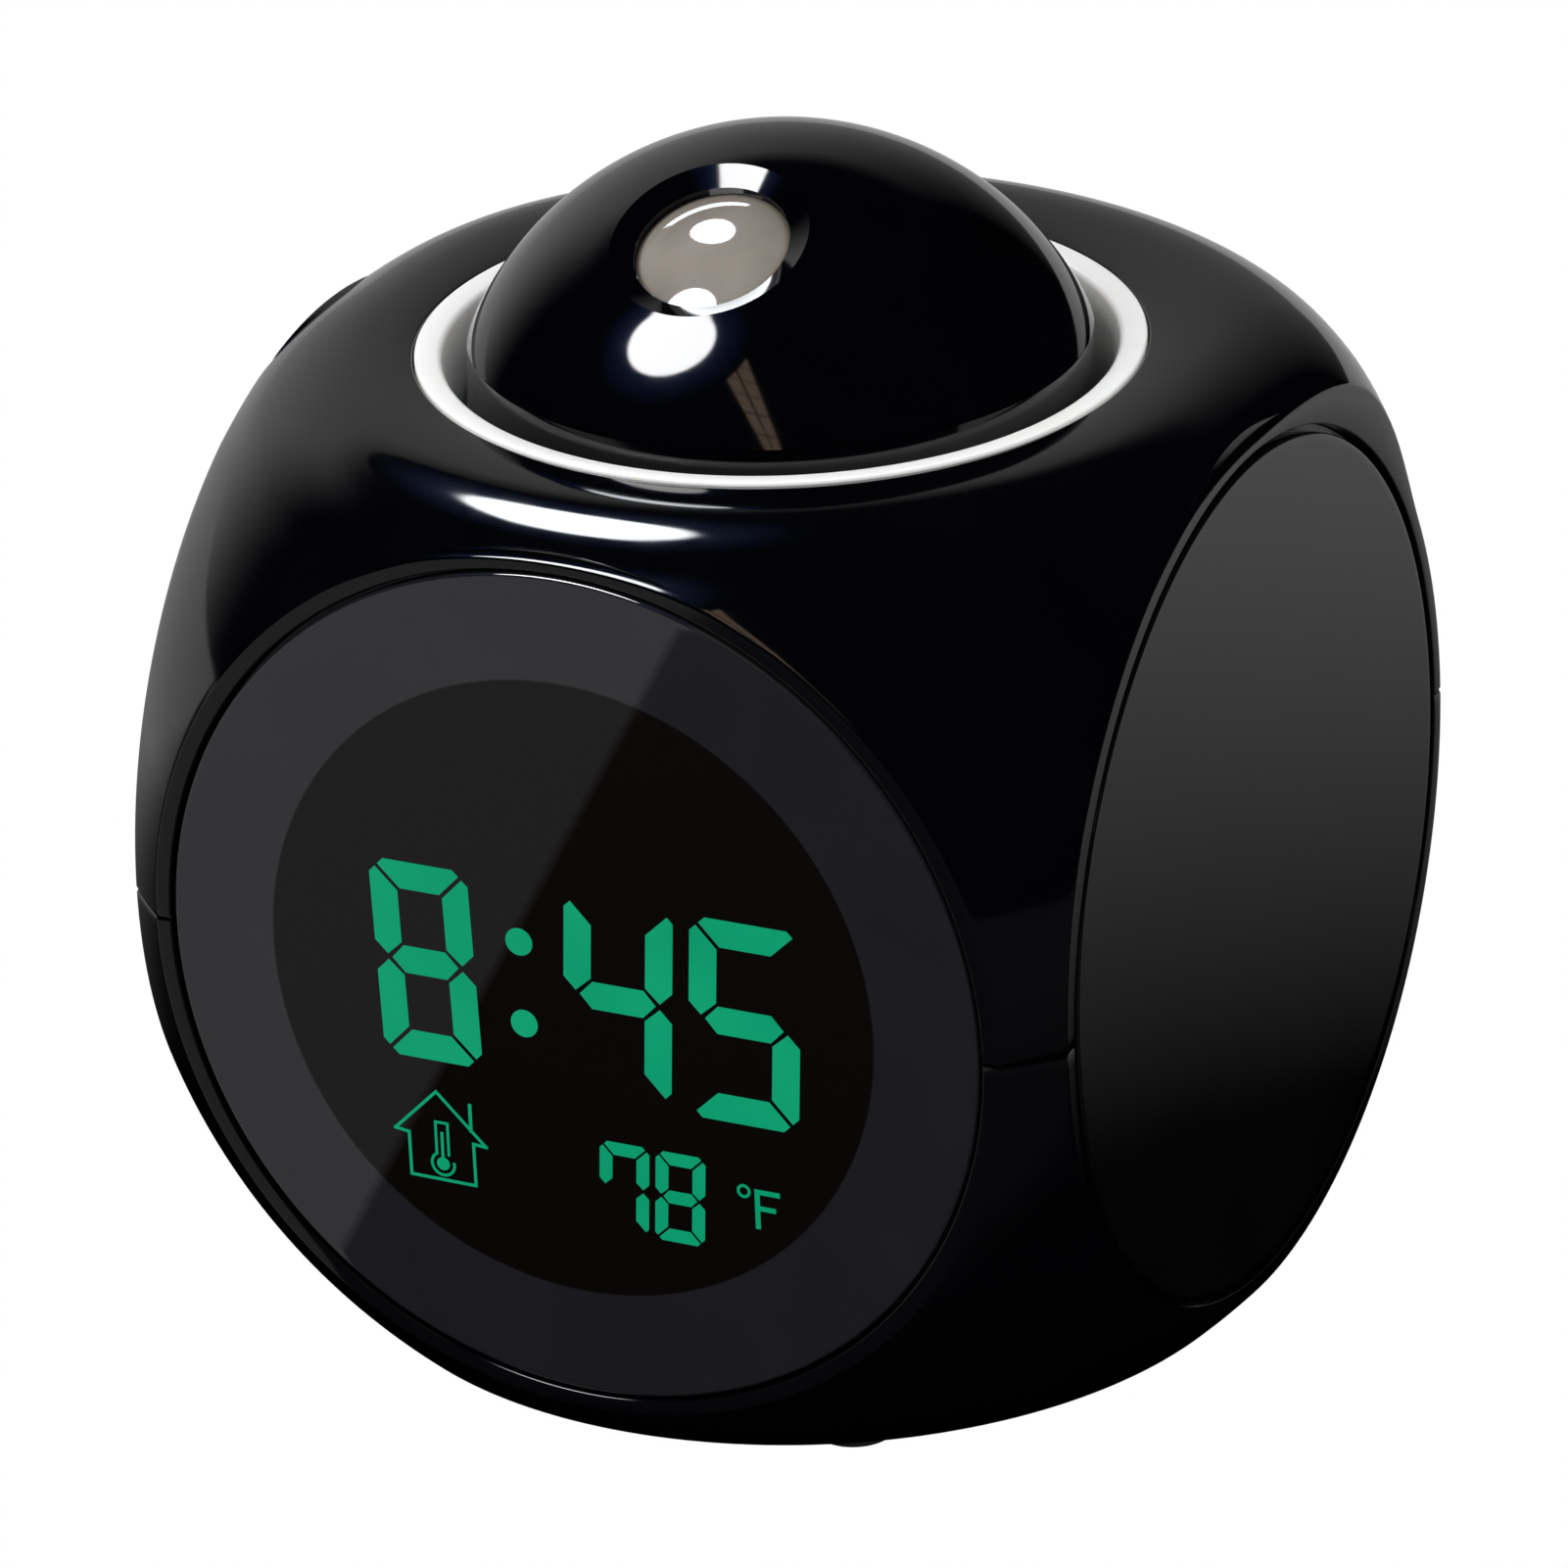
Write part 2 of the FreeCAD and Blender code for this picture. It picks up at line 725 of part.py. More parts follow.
def top_ring():
    skirt_r = ring_bore_r + ring_skirt_wall
    low = ring_z - ring_depth
    centre_out = vec(ring_outer_r - ring_lip_round, 0, ring_z - ring_lip_round)
    centre_in = vec(ring_bore_r + ring_lip_round, 0, ring_z - ring_lip_round)
    r = ring_lip_round
    corners = [
        vec(ring_bore_r, 0, centre_in.z), vec(ring_foot_bore_r, 0, low),
        vec(ring_foot_bore_r + ring_skirt_wall, 0, low), vec(skirt_r, 0, flange_under_z),
        vec(ring_flange_r, 0, flange_under_z), vec(ring_flange_r, 0, flange_top_z),
        vec(ring_outer_r, 0, flange_top_z), vec(ring_outer_r, 0, centre_out.z),
    ]
    edges = [line(a, b) for a, b in zip(corners, corners[1:])]
    lip_out = vec(centre_out.x, 0, ring_z)
    lip_in = vec(centre_in.x, 0, ring_z)
    diagonal = r / math.sqrt(2)
    edges.append(Part.Arc(corners[-1], centre_out + vec(diagonal, 0, diagonal), lip_out).toShape())
    edges.append(line(lip_out, lip_in))
    edges.append(Part.Arc(lip_in, centre_in + vec(-diagonal, 0, diagonal), corners[0]).toShape())
    ring = turned(edges)
    bore = rod(ring_foot_bore_r, case_top_rise, vec(0, 0, bridge_top_z))
    posts = []
    for angle in ring_post_angles:
        place = polar(ring_post_circle_r, angle, bridge_top_z)
        posts.append(rod(ring_post_r, flange_under_z - bridge_top_z, place).cut(bore))
    ring = join([ring] + posts)
    holes = [rod(small_screw_r + screw_gap, small_screw_bite + 1, polar(ring_post_circle_r, a, bridge_top_z))
             for a in ring_post_angles]
    return ring.cut(join(holes))


def bridge():
    """Plate under the projector head that guides its carrier."""
    plate = rod(ring_flange_r, bridge_t, vec(0, 0, bridge_under_z))
    plate = plate.common(block(-half, half, -bridge_half_y, bridge_half_y, 0, top_z))
    stop_z = carrier_under_z - press_travel
    adds = [rod(guide_boss_r, stop_z - bridge_top_z, polar(guide_circle_r, a, bridge_top_z))
            for a in guide_angles]
    cuts = [rod(guide_r + guide_gap, bridge_t + bridge_drop, polar(guide_circle_r, a, bridge_under_z))
            for a in guide_angles]
    for a in ring_post_angles:
        cuts.append(rod(small_screw_r + screw_gap, bridge_t, polar(ring_post_circle_r, a, bridge_under_z)))
    cuts.append(rod(hub_bore_r, bridge_t, vec(0, 0, bridge_under_z)))
    return join([plate] + adds).cut(join(cuts))


def bridge_screws():
    screws = []
    for a in ring_post_angles:
        place = polar(ring_post_circle_r, a, bridge_under_z)
        head = rod(small_screw_head_r, small_screw_head_h, place, Z * -1)
        screws.append(join([head, rod(small_screw_r, bridge_t + small_screw_bite, place)]))
    return Part.makeCompound(screws)


def head_carrier():
    plate = rod(carrier_r, carrier_t, vec(0, 0, carrier_under_z))
    thrust = rod(thrust_r, thrust_h, vec(0, 0, carrier_top_z))
    post_length = carrier_under_z - bridge_under_z
    posts = [rod(guide_r, post_length, polar(guide_circle_r, a, bridge_under_z)) for a in guide_angles]
    cuts = [rod(hub_r + hub_gap, carrier_t + thrust_h, vec(0, 0, carrier_under_z))]
    for a in guide_angles:
        place = polar(guide_circle_r, a, bridge_under_z)
        cuts.append(rod(small_screw_r + screw_gap, post_length, place))
    return join([plate, thrust] + posts).cut(join(cuts))


def carrier_screws():
    screws = []
    for a in guide_angles:
        place = polar(guide_circle_r, a, bridge_under_z)
        head = rod(guide_head_r, guide_head_h, place, Z * -1)
        screws.append(join([head, rod(small_screw_r, 2 * small_screw_bite, place)]))
    return Part.makeCompound(screws)


def return_spring():
    return coil(spring_r, spring_wire_r, spring_turns, bridge_drop, vec(0, 0, bridge_top_z))


def press_switch():
    low = bridge_top_z
    tip = carrier_under_z - press_travel - switch_clear
    board_z = low + press_board_t
    body_z = board_z + press_switch_body_h
    s = switch_side / 2
    y = press_board_y
    w = press_board_w / 2
    d = press_board_d / 2
    parts = [block(-w, w, y - d, y + d, low, board_z)]
    parts.append(block(-s, s, y - s, y + s, board_z, body_z))
    parts.append(rod(switch_plunger_r, tip - body_z, vec(0, y, body_z)))
    return join(parts)


def head_base():
    """Cup under the dome; its hub turns in the carrier."""
    top = seam_z
    floor = cup_floor_z
    under = cup_under_z
    points = [
        (cup_top_r, top), (cup_foot_r, under), (hub_r, under), (hub_r, carrier_under_z - washer_play),
        (hub_bore_r, carrier_under_z - washer_play), (hub_bore_r, floor), (cup_foot_r - cup_wall, floor),
        (cup_top_r - cup_wall, top),
    ]
    cup = turned_points(points)
    bosses = [rod(barrel_boss_r, barrel_boss_h, vec(x, 0, floor)) for x in (-barrel_screw_x, barrel_screw_x)]
    holes = [rod(small_screw_r + screw_gap, small_screw_bite + 1,
                 vec(x, 0, floor + barrel_boss_h - small_screw_bite)) for x in (-barrel_screw_x, barrel_screw_x)]
    for a in guide_angles:
        holes.append(rod(small_screw_r + screw_gap, small_screw_bite + 1,
                         polar((hub_r + hub_bore_r) / 2, a, carrier_under_z - washer_play)))
    return join([cup] + bosses).cut(join(holes))


def swivel_washer():
    low = carrier_under_z - washer_play - washer_t
    ring = rod(washer_r, washer_t, vec(0, 0, low)).cut(rod(hub_bore_r, washer_t, vec(0, 0, low)))
    holes = [rod(small_screw_r + screw_gap, washer_t, polar((hub_r + hub_bore_r) / 2, a, low))
             for a in guide_angles]
    return ring.cut(join(holes))


def head_screws():
    screws = []
    low = carrier_under_z - washer_play - washer_t
    for a in guide_angles:
        place = polar((hub_r + hub_bore_r) / 2, a, low)
        head = rod(small_screw_head_r, small_screw_head_h, place, Z * -1)
        head = head.cut(rod(hub_bore_r, 3 * small_screw_head_h, vec(0, 0, low - 2 * small_screw_head_h)))
        screws.append(join([head, rod(small_screw_r, washer_t + small_screw_bite, place)]))
    tab_top = cup_floor_z + barrel_boss_h + barrel_tab_t
    for x in (-barrel_screw_x, barrel_screw_x):
        place = vec(x, 0, tab_top)
        head = rod(small_screw_head_r, small_screw_head_h, place)
        length = barrel_tab_t + small_screw_bite - small_screw_end_gap
        screws.append(join([head, rod(small_screw_r, length, place, Z * -1)]))
    return Part.makeCompound(screws)


def dome_solid(r):
    return Part.makeSphere(r, vec(0, 0, dome_centre_z))


def aim(shape):
    """Move a shape drawn along +Z from the dome's centre onto the lens axis."""
    shape.rotate(ORIGIN, X, lens_tilt)
    shape.translate(vec(0, 0, dome_centre_z))
    return shape


def head_dome():
    edge_z = seam_z + seam_groove
    inner_r = dome_r - dome_wall
    above = block(-half, half, -half, half, edge_z, dome_centre_z + dome_r + 1)
    shell = dome_solid(dome_r).cut(dome_solid(inner_r)).common(above)
    spigot_r = cup_top_r - cup_wall - spigot_gap
    spigot_low = seam_z - spigot_depth
    height = edge_z + spigot_rise - spigot_low
    spigot = rod(spigot_r, height, vec(0, 0, spigot_low))
    spigot = spigot.cut(rod(spigot_r - spigot_wall, height, vec(0, 0, spigot_low)))
    dome = join([shell, spigot.common(dome_solid(dome_r - dome_wall / 2))])
    return dome.cut(aim(rod(tunnel_r, dome_r, ORIGIN)))


def lens_tunnel():
    """Stepped black mouth that frames the lens, flush with the dome."""
    low = barrel_front
    lip = low + lens_rim_t + lens_gap
    rim = math.sqrt(dome_r ** 2 - tunnel_r ** 2)
    outer_r = tunnel_r - tunnel_gap
    points = [
        (lens_r + lens_gap, low), (outer_r, low), (outer_r, rim), (tunnel_mouth_r, rim),
        (tunnel_lip_r, lip + tunnel_lip_t), (tunnel_lip_r, lip), (lens_r + lens_gap, lip),
    ]
    return aim(turned_points(points))


def bulged_disc(r, rim_t, bulge, low):
    """A lens with a flat back, a straight rim and a domed front."""
    crown_r = (r ** 2 + bulge ** 2) / (2 * bulge)
    top = low + rim_t
    edges = [
        line(vec(0, 0, low), vec(r, 0, low)),
        line(vec(r, 0, low), vec(r, 0, top)),
        arc(vec(r, 0, top), vec(0, 0, top + bulge), vec(0, 0, top + bulge - crown_r), crown_r),
        line(vec(0, 0, top + bulge), vec(0, 0, low)),
    ]
    return turned(edges)


def projection_lens():
    flange = rod(lens_r, lens_rim_t, vec(0, 0, barrel_front))
    crown = bulged_disc(tunnel_lip_r - lens_gap, lens_rim_t, lens_bulge, barrel_front)
    return aim(join([flange, crown]))


def projector_barrel():
    length = barrel_front - barrel_back
    tube = aim(rod(barrel_r, length, vec(0, 0, barrel_back)))
    low = cup_floor_z + barrel_boss_h
    foot = block(-barrel_r, barrel_r, -barrel_foot_y, barrel_foot_y, low, dome_centre_z + barrel_r / 2)
    tabs = block(-barrel_tab_x, barrel_tab_x, -barrel_tab_half_y, barrel_tab_half_y, low, low + barrel_tab_t)
    cuts = [aim(rod(barrel_bore_r, condenser_at + condenser_t + barrel_r, vec(0, 0, -barrel_r)))]
    cuts.append(aim(rod(barrel_shoulder_r, barrel_front, ORIGIN)))
    cuts.append(aim(rod(barrel_bore_r, barrel_front, vec(0, 0, slide_at))))
    for x in (-barrel_screw_x, barrel_screw_x):
        cuts.append(rod(small_screw_r + screw_gap, barrel_tab_t, vec(x, 0, low)))
    return join([tube, foot, tabs]).cut(join(cuts))


def condenser_lens():
    top = condenser_at + condenser_t
    return aim(bulged_disc(barrel_bore_r - barrel_fit, condenser_t - condenser_bulge, condenser_bulge,
                           top - condenser_t))


def projection_slide():
    s = slide_side / 2
    return aim(block(-s, s, -s, s, slide_at, slide_at + slide_t))


def led_board():
    board = rod(barrel_bore_r - barrel_fit, led_board_t, vec(0, 0, barrel_back))
    lamp = rod(led_r, led_stem, vec(0, 0, barrel_back + led_board_t))
    tip = Part.makeSphere(led_r, vec(0, 0, barrel_back + led_board_t + led_stem), Z, 0, 90, 360)
    return aim(join([board, lamp, tip]))


def cell_rows():
    """Each cell's Y place and the X direction that its nub points in."""
    return [((i - (cells - 1) / 2) * cell_pitch, 1 if i % 2 == 0 else -1) for i in range(cells)]


def battery_cells():
    bodies = []
    for y, way in cell_rows():
        nub_end = way * (box_half_x - contact_t)
        axis = X * way
        shoulder = nub_end - way * cell_nub_length
        nub = rod(cell_nub_r, cell_nub_length, vec(shoulder, y, cell_z), axis)
        can = rod(cell_r, cell_length, vec(shoulder, y, cell_z), axis * -1)
        bodies.append(join([nub, round_edges(can, cell_edge_round, lambda e: e.BoundBox.XLength < 0.001)]))
    return Part.makeCompound(bodies)


def battery_contacts():
    metal = []
    s = contact_side / 2
    for y, way in cell_rows():
        for side in (-1, 1):
            outer = side * box_half_x
            inner = side * (box_half_x - contact_t)
            metal.append(block(min(outer, inner), max(outer, inner), y - s, y + s, cell_z - s, cell_z + s))
        spring = coil(contact_spring_r, contact_wire_r, contact_turns, contact_spring_length, ORIGIN)
        spring.rotate(ORIGIN, Y, 90 * way)
        spring.translate(vec(-way * (box_half_x - contact_t), y, cell_z))
        metal.append(spring)
    return Part.makeCompound(metal)


def battery_door():
    plate = block(-door_half_x, door_half_x, -door_half_y, hinge_y, bottom_z, door_top_z)
    knuckle = rod(door_t / 2, 2 * door_half_x, vec(-door_half_x, hinge_y, hinge_z), X)
    pin_start = door_half_x + door_pin_length
    pins = rod(door_pin_r, 2 * pin_start, vec(-pin_start, hinge_y, hinge_z), X)
    door = join([plate, knuckle, pins])
    notch = rod(notch_r, notch_depth + 1, vec(0, -door_half_y, bottom_z - 1))
    return door.cut(notch)


def save(name, shape):
    shape.exportStep("parts/" + name + ".step")
    solids = len(shape.Solids)
    print(name, "solids", solids, "valid", shape.isValid(), "volume", round(shape.Volume, 1))


def main():
    os.makedirs("parts", exist_ok=True)
    save("lower_shell", lower_shell())
    save("upper_shell", upper_shell())
    save("case_screws", case_screws())
    save("feet", feet())
    save("display_lens", display_lens())
    save("left_cover", side_cover(X * -1))
    save("right_cover", side_cover(X))
    save("rear_panel", rear_panel())
    for name, x in zip(("mode_button", "set_button", "up_button", "down_button"), button_places()):
        save(name, push_button(x))
    save("switch_board", switch_board())
    save("speaker", speaker())
    save("display_frame", rim_frame())
    save("display_glass", display_glass())
    save("light_guide", light_guide())
    save("main_board", main_board())
    save("top_ring", top_ring())
    save("bridge", bridge())
    save("bridge_screws", bridge_screws())
    save("head_carrier", head_carrier())
    save("carrier_screws", carrier_screws())
    save("return_spring", return_spring())
    save("press_switch", press_switch())
    save("head_base", head_base())
    save("swivel_washer", swivel_washer())
    save("head_screws", head_screws())
    save("head_dome", head_dome())
    save("lens_tunnel", lens_tunnel())
    save("projection_lens", projection_lens())
    save("projector_barrel", projector_barrel())
    save("condenser_lens", condenser_lens())
    save("projection_slide", projection_slide())
    save("led_board", led_board())
    save("battery_cells", battery_cells())
    save("battery_contacts", battery_contacts())
    save("battery_door", battery_door())


main()
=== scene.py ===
import math

import bmesh
import bpy
from mathutils import Matrix, Vector


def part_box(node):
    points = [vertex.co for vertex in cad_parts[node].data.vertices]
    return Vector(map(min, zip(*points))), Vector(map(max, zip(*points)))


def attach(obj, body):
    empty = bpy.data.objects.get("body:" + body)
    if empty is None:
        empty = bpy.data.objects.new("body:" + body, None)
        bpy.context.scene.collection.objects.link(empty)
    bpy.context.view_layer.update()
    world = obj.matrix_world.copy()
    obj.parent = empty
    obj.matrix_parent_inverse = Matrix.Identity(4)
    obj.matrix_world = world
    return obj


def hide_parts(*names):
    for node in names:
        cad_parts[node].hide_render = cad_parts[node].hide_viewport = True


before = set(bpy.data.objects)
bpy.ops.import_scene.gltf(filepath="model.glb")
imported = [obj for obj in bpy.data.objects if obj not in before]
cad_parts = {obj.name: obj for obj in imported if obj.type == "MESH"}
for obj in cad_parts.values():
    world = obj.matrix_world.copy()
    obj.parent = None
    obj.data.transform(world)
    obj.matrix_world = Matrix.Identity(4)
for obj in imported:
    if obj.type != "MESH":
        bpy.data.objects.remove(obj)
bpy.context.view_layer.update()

MM = 0.001
PER_METRE = 1000

# Sizes in millimetres, most of them as in the solids; the rear corners, the ring's top and the
# case's even wall differ from them. Heights of the case are from its mid plane.
mid_z = 48.0
half = 47.5
top_rise = 45.4
bottom_drop = 47.0
ball_r = 63.9
top_flat_r = 38.0
rear_flat = 2.5
rear_fullness = 2.3
rear_blend = 0.6
fuller_from = 0.3
fuller_over = 0.3
rim_inset = 0.1
land_inset = 0.6
case_edge_round = 0.2
pocket_r = 41.2
disc_t = 1.8
case_wall = 1.8
ring_z = 93.62
ring_dip = 0.2
ring_outer_r = 33.9
ring_bore_r = 31.3
ring_foot_bore_r = 30.9
ring_low_z = 78.95
ring_hole_r = 34.1
dome_r = 31.9
dome_centre_z = 81.4
seam_z = 94.55
lens_tilt = 26.7
mouth_r = 9.4
lens_low = 28.6
seam_gap = 0.16
seam_chamfer_h = 0.25
seam_chamfer_w = 0.14
window_r = 30.5
front_disc_r = 40.8
cover_disc_r = 40.4
disc_edge_round = 0.35
door_half = (26.35, 18.1)
foot_spot = (20.0, 33.0)
foot_recess_r = 4.05
screw_spot = 28.6
screw_well_r = 2.8
post_r = 3.8
post_low_z = 2.8
post_top_z = 45.0
key_hole_r = 3.1
key_back_y = 36.2
sound_z = 28.0
sound_r = 14.3
slot_count = 7
slot_pitch = 4.0
slot_height = 1.6
segment_t = 0.03
big_stroke = 2.75
big_gap = 0.28
small_stroke = 1.3
small_gap = 0.16
small_size = (5.05, 9.1)
small_z = -19.15

AROUND = 256
RINGS = 32
WALL_RING = 21
MOUTH_RING = 22
LAND_RING = 23
SOFT_RING = 24


# Making and finishing pieces

def lathe(points, steps=AROUND):
    """Turn an outline of (radius, height) points about the Z axis."""
    form = bmesh.new()
    corners = [form.verts.new((r, 0, z)) for r, z in points]
    edges = [form.edges.new(pair) for pair in zip(corners, corners[1:])]
    bmesh.ops.spin(form, geom=corners + edges, cent=(0, 0, 0), axis=(0, 0, 1), dvec=(0, 0, 0),
                   angle=2 * math.pi, steps=steps, use_merge=True, use_duplicate=False)
    bmesh.ops.remove_doubles(form, verts=form.verts, dist=0.0005)
    bmesh.ops.recalc_face_normals(form, faces=form.faces)
    return form


def corner(r, z, radius, start, end, steps=5):
    """Points of a rounded corner about (r, z), by angles from the radius line."""
    points = []
    for i in range(steps + 1):
        a = math.radians(start + (end - start) * i / steps)
        points.append((r + radius * math.cos(a), z + radius * math.sin(a)))
    return points


def place(form, turn=None, shift=(0, 0, 0)):
    """Turn a form about the origin, then shift it."""
    if turn:
        bmesh.ops.rotate(form, verts=form.verts, cent=(0, 0, 0), matrix=turn)
    bmesh.ops.translate(form, verts=form.verts, vec=shift)
    return form


def block(half_x, half_y, height, mid):
    """A box about the Z axis, by half its sides, its height and the height of its middle."""
    form = bmesh.new()
    bmesh.ops.create_cube(form, size=1)
    bmesh.ops.scale(form, vec=(2 * half_x, 2 * half_y, height), verts=form.verts)
    return place(form, shift=(0, 0, mid))


def rod(radius, length, steps):
    """A cylinder along the Z axis, with its middle at the origin."""
    form = bmesh.new()
    bmesh.ops.create_cone(form, cap_ends=True, segments=steps, radius1=radius, radius2=radius, depth=length)
    return form


def facing(direction):
    """The turn that takes +Z to a direction."""
    return Vector((0, 0, 1)).rotation_difference(Vector(direction)).to_matrix()


def add_form(form, extra):
    """Put the second form's faces into the first."""
    rough = bpy.data.meshes.new("rough")
    extra.to_mesh(rough)
    extra.free()
    form.from_mesh(rough)
    bpy.data.meshes.remove(rough)
    return form


def mesh_object(name, form):
    """Turn a form into an object of the scene."""
    mesh = bpy.data.meshes.new(name)
    form.to_mesh(mesh)
    form.free()
    made = bpy.data.objects.new(name, mesh)
    bpy.context.scene.collection.objects.link(made)
    return made


def shaped(form, kind, **values):
    """The form after one modifier."""
    rough = mesh_object("rough", form)
    modifier = rough.modifiers.new(kind, kind)
    for key, value in values.items():
        setattr(modifier, key, value)
    graph = bpy.context.evaluated_depsgraph_get()
    mesh = bpy.data.meshes.new_from_object(rough.evaluated_get(graph), depsgraph=graph)
    result = bmesh.new()
    result.from_mesh(mesh)
    bpy.data.objects.remove(rough)
    bpy.data.meshes.remove(mesh)
    return result


def cut(form, tool_form):
    """The form less the tool."""
    tool = mesh_object("rough", tool_form)
    result = shaped(form, "BOOLEAN", operation="DIFFERENCE", solver="EXACT", object=tool)
    bpy.data.objects.remove(tool)
    return result


def bevel_sharp(form, width, least, segments=3):
    """Round the edges that turn by more than the least angle."""
    edges = [e for e in form.edges if len(e.link_faces) == 2 and e.calc_face_angle(0) > math.radians(least)]
    bmesh.ops.bevel(form, geom=edges, offset=width, offset_type="OFFSET", segments=segments, profile=0.5,
                    affect="EDGES", material=-1, clamp_overlap=False)
    return form


def make_piece(name, form, material, body, slot, *nodes):
    """Turn a form in millimetres into a piece of the clock."""
    bmesh.ops.scale(form, vec=(MM, MM, MM), verts=form.verts)
    piece = mesh_object(name, form)
    piece.data.shade_smooth()
    piece.data.set_sharp_from_angle(angle=math.radians(32))
    piece.data.materials.append(material)
    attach(piece, body)
    if nodes:
        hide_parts(*nodes)
    return piece


# Materials

def node(tree, kind, **values):
    made = tree.nodes.new("ShaderNode" + kind)
    for key, value in values.items():
        setattr(made, key, value)
    return made


def moulded_skin():
    """Patterns that every finish shares: a soft blotch, a fine grain and the bump of that grain."""
    group = bpy.data.node_groups.new("moulded skin", "ShaderNodeTree")
    face = group.interface
    for name in ("Grain per mm", "Relief"):
        face.new_socket(name, in_out="INPUT", socket_type="NodeSocketFloat")
    for name, kind in (("Blotch", "Float"), ("Grain", "Float"), ("Normal", "Vector"), ("Millimetres", "Vector")):
        face.new_socket(name, in_out="OUTPUT", socket_type="NodeSocket" + kind)
    given = group.nodes.new("NodeGroupInput")
    result = group.nodes.new("NodeGroupOutput")
    spot = node(group, "TexCoord")
    metres = node(group, "VectorMath", operation="SCALE")
    metres.inputs["Scale"].default_value = PER_METRE
    blotch = node(group, "TexNoise")
    blotch.inputs["Scale"].default_value = 0.09
    blotch.inputs["Detail"].default_value = 3
    grain = node(group, "TexNoise")
    grain.inputs["Detail"].default_value = 4
    bump = node(group, "Bump")
    bump.inputs["Distance"].default_value = 0.00004
    link = group.links.new
    link(spot.outputs["Object"], metres.inputs[0])
    for texture in (blotch, grain):
        link(metres.outputs[0], texture.inputs["Vector"])
    link(given.outputs["Grain per mm"], grain.inputs["Scale"])
    link(given.outputs["Relief"], bump.inputs["Strength"])
    link(grain.outputs[0], bump.inputs["Height"])
    link(blotch.outputs[0], result.inputs["Blotch"])
    link(grain.outputs[0], result.inputs["Grain"])
    link(bump.outputs["Normal"], result.inputs["Normal"])
    link(metres.outputs[0], result.inputs["Millimetres"])
    return group


skin_group = moulded_skin()


def mix_colours(tree, factor, first, second):
    """A colour between two, each either a colour or a socket."""
    mix = node(tree, "Mix", data_type="RGBA")
    tree.links.new(factor, mix.inputs[0])
    for socket, colour in ((mix.inputs[6], first), (mix.inputs[7], second)):
        if isinstance(colour, tuple):
            socket.default_value = (*colour, 1)
        else:
            tree.links.new(colour, socket)
    return mix.outputs[2]


def ranged(tree, value, low, high, to_low, to_high, smooth=False):
    """A value mapped from one range to another and held at its ends."""
    span = node(tree, "MapRange", interpolation_type="SMOOTHSTEP" if smooth else "LINEAR")
    tree.links.new(value, span.inputs[0])
    for socket, number in zip(span.inputs[1:5], (low, high, to_low, to_high)):
        socket.default_value = number
    return span.outputs[0]


def finish(name, dark, light, rough, grain=1.5, relief=0.1, metal=0.0, **sockets):
    """A finish whose colour and gloss wander a little over the surface."""
    material = bpy.data.materials.new(name)
    material.use_nodes = True
    tree = material.node_tree
    shader = tree.nodes["Principled BSDF"]
    skin = node(tree, "Group", node_tree=skin_group)
    skin.name = "skin"
    skin.inputs["Grain per mm"].default_value = grain
    skin.inputs["Relief"].default_value = relief
    blotch = ranged(tree, skin.outputs["Blotch"], 0.3, 0.7, 0.0, 1.0)
    tree.links.new(mix_colours(tree, blotch, dark, light), shader.inputs["Base Color"])
    gloss = ranged(tree, skin.outputs["Grain"], 0.3, 0.7, rough[0], rough[1])
    tree.links.new(gloss, shader.inputs["Roughness"])
    tree.links.new(skin.outputs["Normal"], shader.inputs["Normal"])
    shader.inputs["Metallic"].default_value = metal
    for socket, value in sockets.items():
        shader.inputs[socket.replace("_", " ")].default_value = value
    return material


def radius_mask(material, flat_axis, edge, blur):
    """0 inside a radius about the middle of a face disc, 1 outside it, in millimetres."""
    tree = material.node_tree
    skin = tree.nodes["skin"]
    shift = node(tree, "VectorMath", operation="SUBTRACT")
    shift.inputs[1].default_value = (0, 0, mid_z)
    flat = node(tree, "VectorMath", operation="MULTIPLY")
    flat.inputs[1].default_value = tuple(0 if i == flat_axis else 1 for i in range(3))
    length = node(tree, "VectorMath", operation="LENGTH")
    tree.links.new(skin.outputs["Millimetres"], shift.inputs[0])
    tree.links.new(shift.outputs[0], flat.inputs[0])
    tree.links.new(flat.outputs[0], length.inputs[0])
    return ranged(tree, length.outputs["Value"], edge - blur, edge + blur, 0.0, 1.0, True)


gloss_black = finish("gloss black moulding", (0.0005, 0.0006, 0.0011), (0.001, 0.0011, 0.0019),
                     (0.05, 0.085), 0.35, 0.012)
head_black = finish("gloss black head", (0.0004, 0.0005, 0.001), (0.0008, 0.0009, 0.0017),
                    (0.045, 0.07), 0.3, 0.01)
disc_grey = finish("satin grey disc", (0.0016, 0.0016, 0.0018), (0.0026, 0.0026, 0.003), (0.1, 0.15), 3.0, 0.02)
ring_white = finish("white ring moulding", (0.91, 0.90, 0.88), (0.95, 0.945, 0.93), (0.3, 0.4), 1.2, 0.0,
                    Subsurface_Weight=0.35, Subsurface_Scale=0.002, Subsurface_Radius=(1, 0.85, 0.7))
button_grey = finish("satin grey button", (0.02, 0.02, 0.021), (0.027, 0.027, 0.028), (0.32, 0.42), 4.0, 0.08)
inner_black = finish("plain black moulding", (0.012, 0.012, 0.012), (0.02, 0.02, 0.02), (0.45, 0.6), 2.5, 0.15)
inner_white = finish("plain white moulding", (0.62, 0.61, 0.58), (0.72, 0.71, 0.68), (0.4, 0.55), 2.0, 0.12)
rubber = finish("foot rubber", (0.013, 0.013, 0.014), (0.024, 0.024, 0.025), (0.7, 0.85), 5.0, 0.35)
steel = finish("plated steel", (0.55, 0.55, 0.54), (0.66, 0.66, 0.65), (0.22, 0.34), 4.0, 0.1, 1.0)
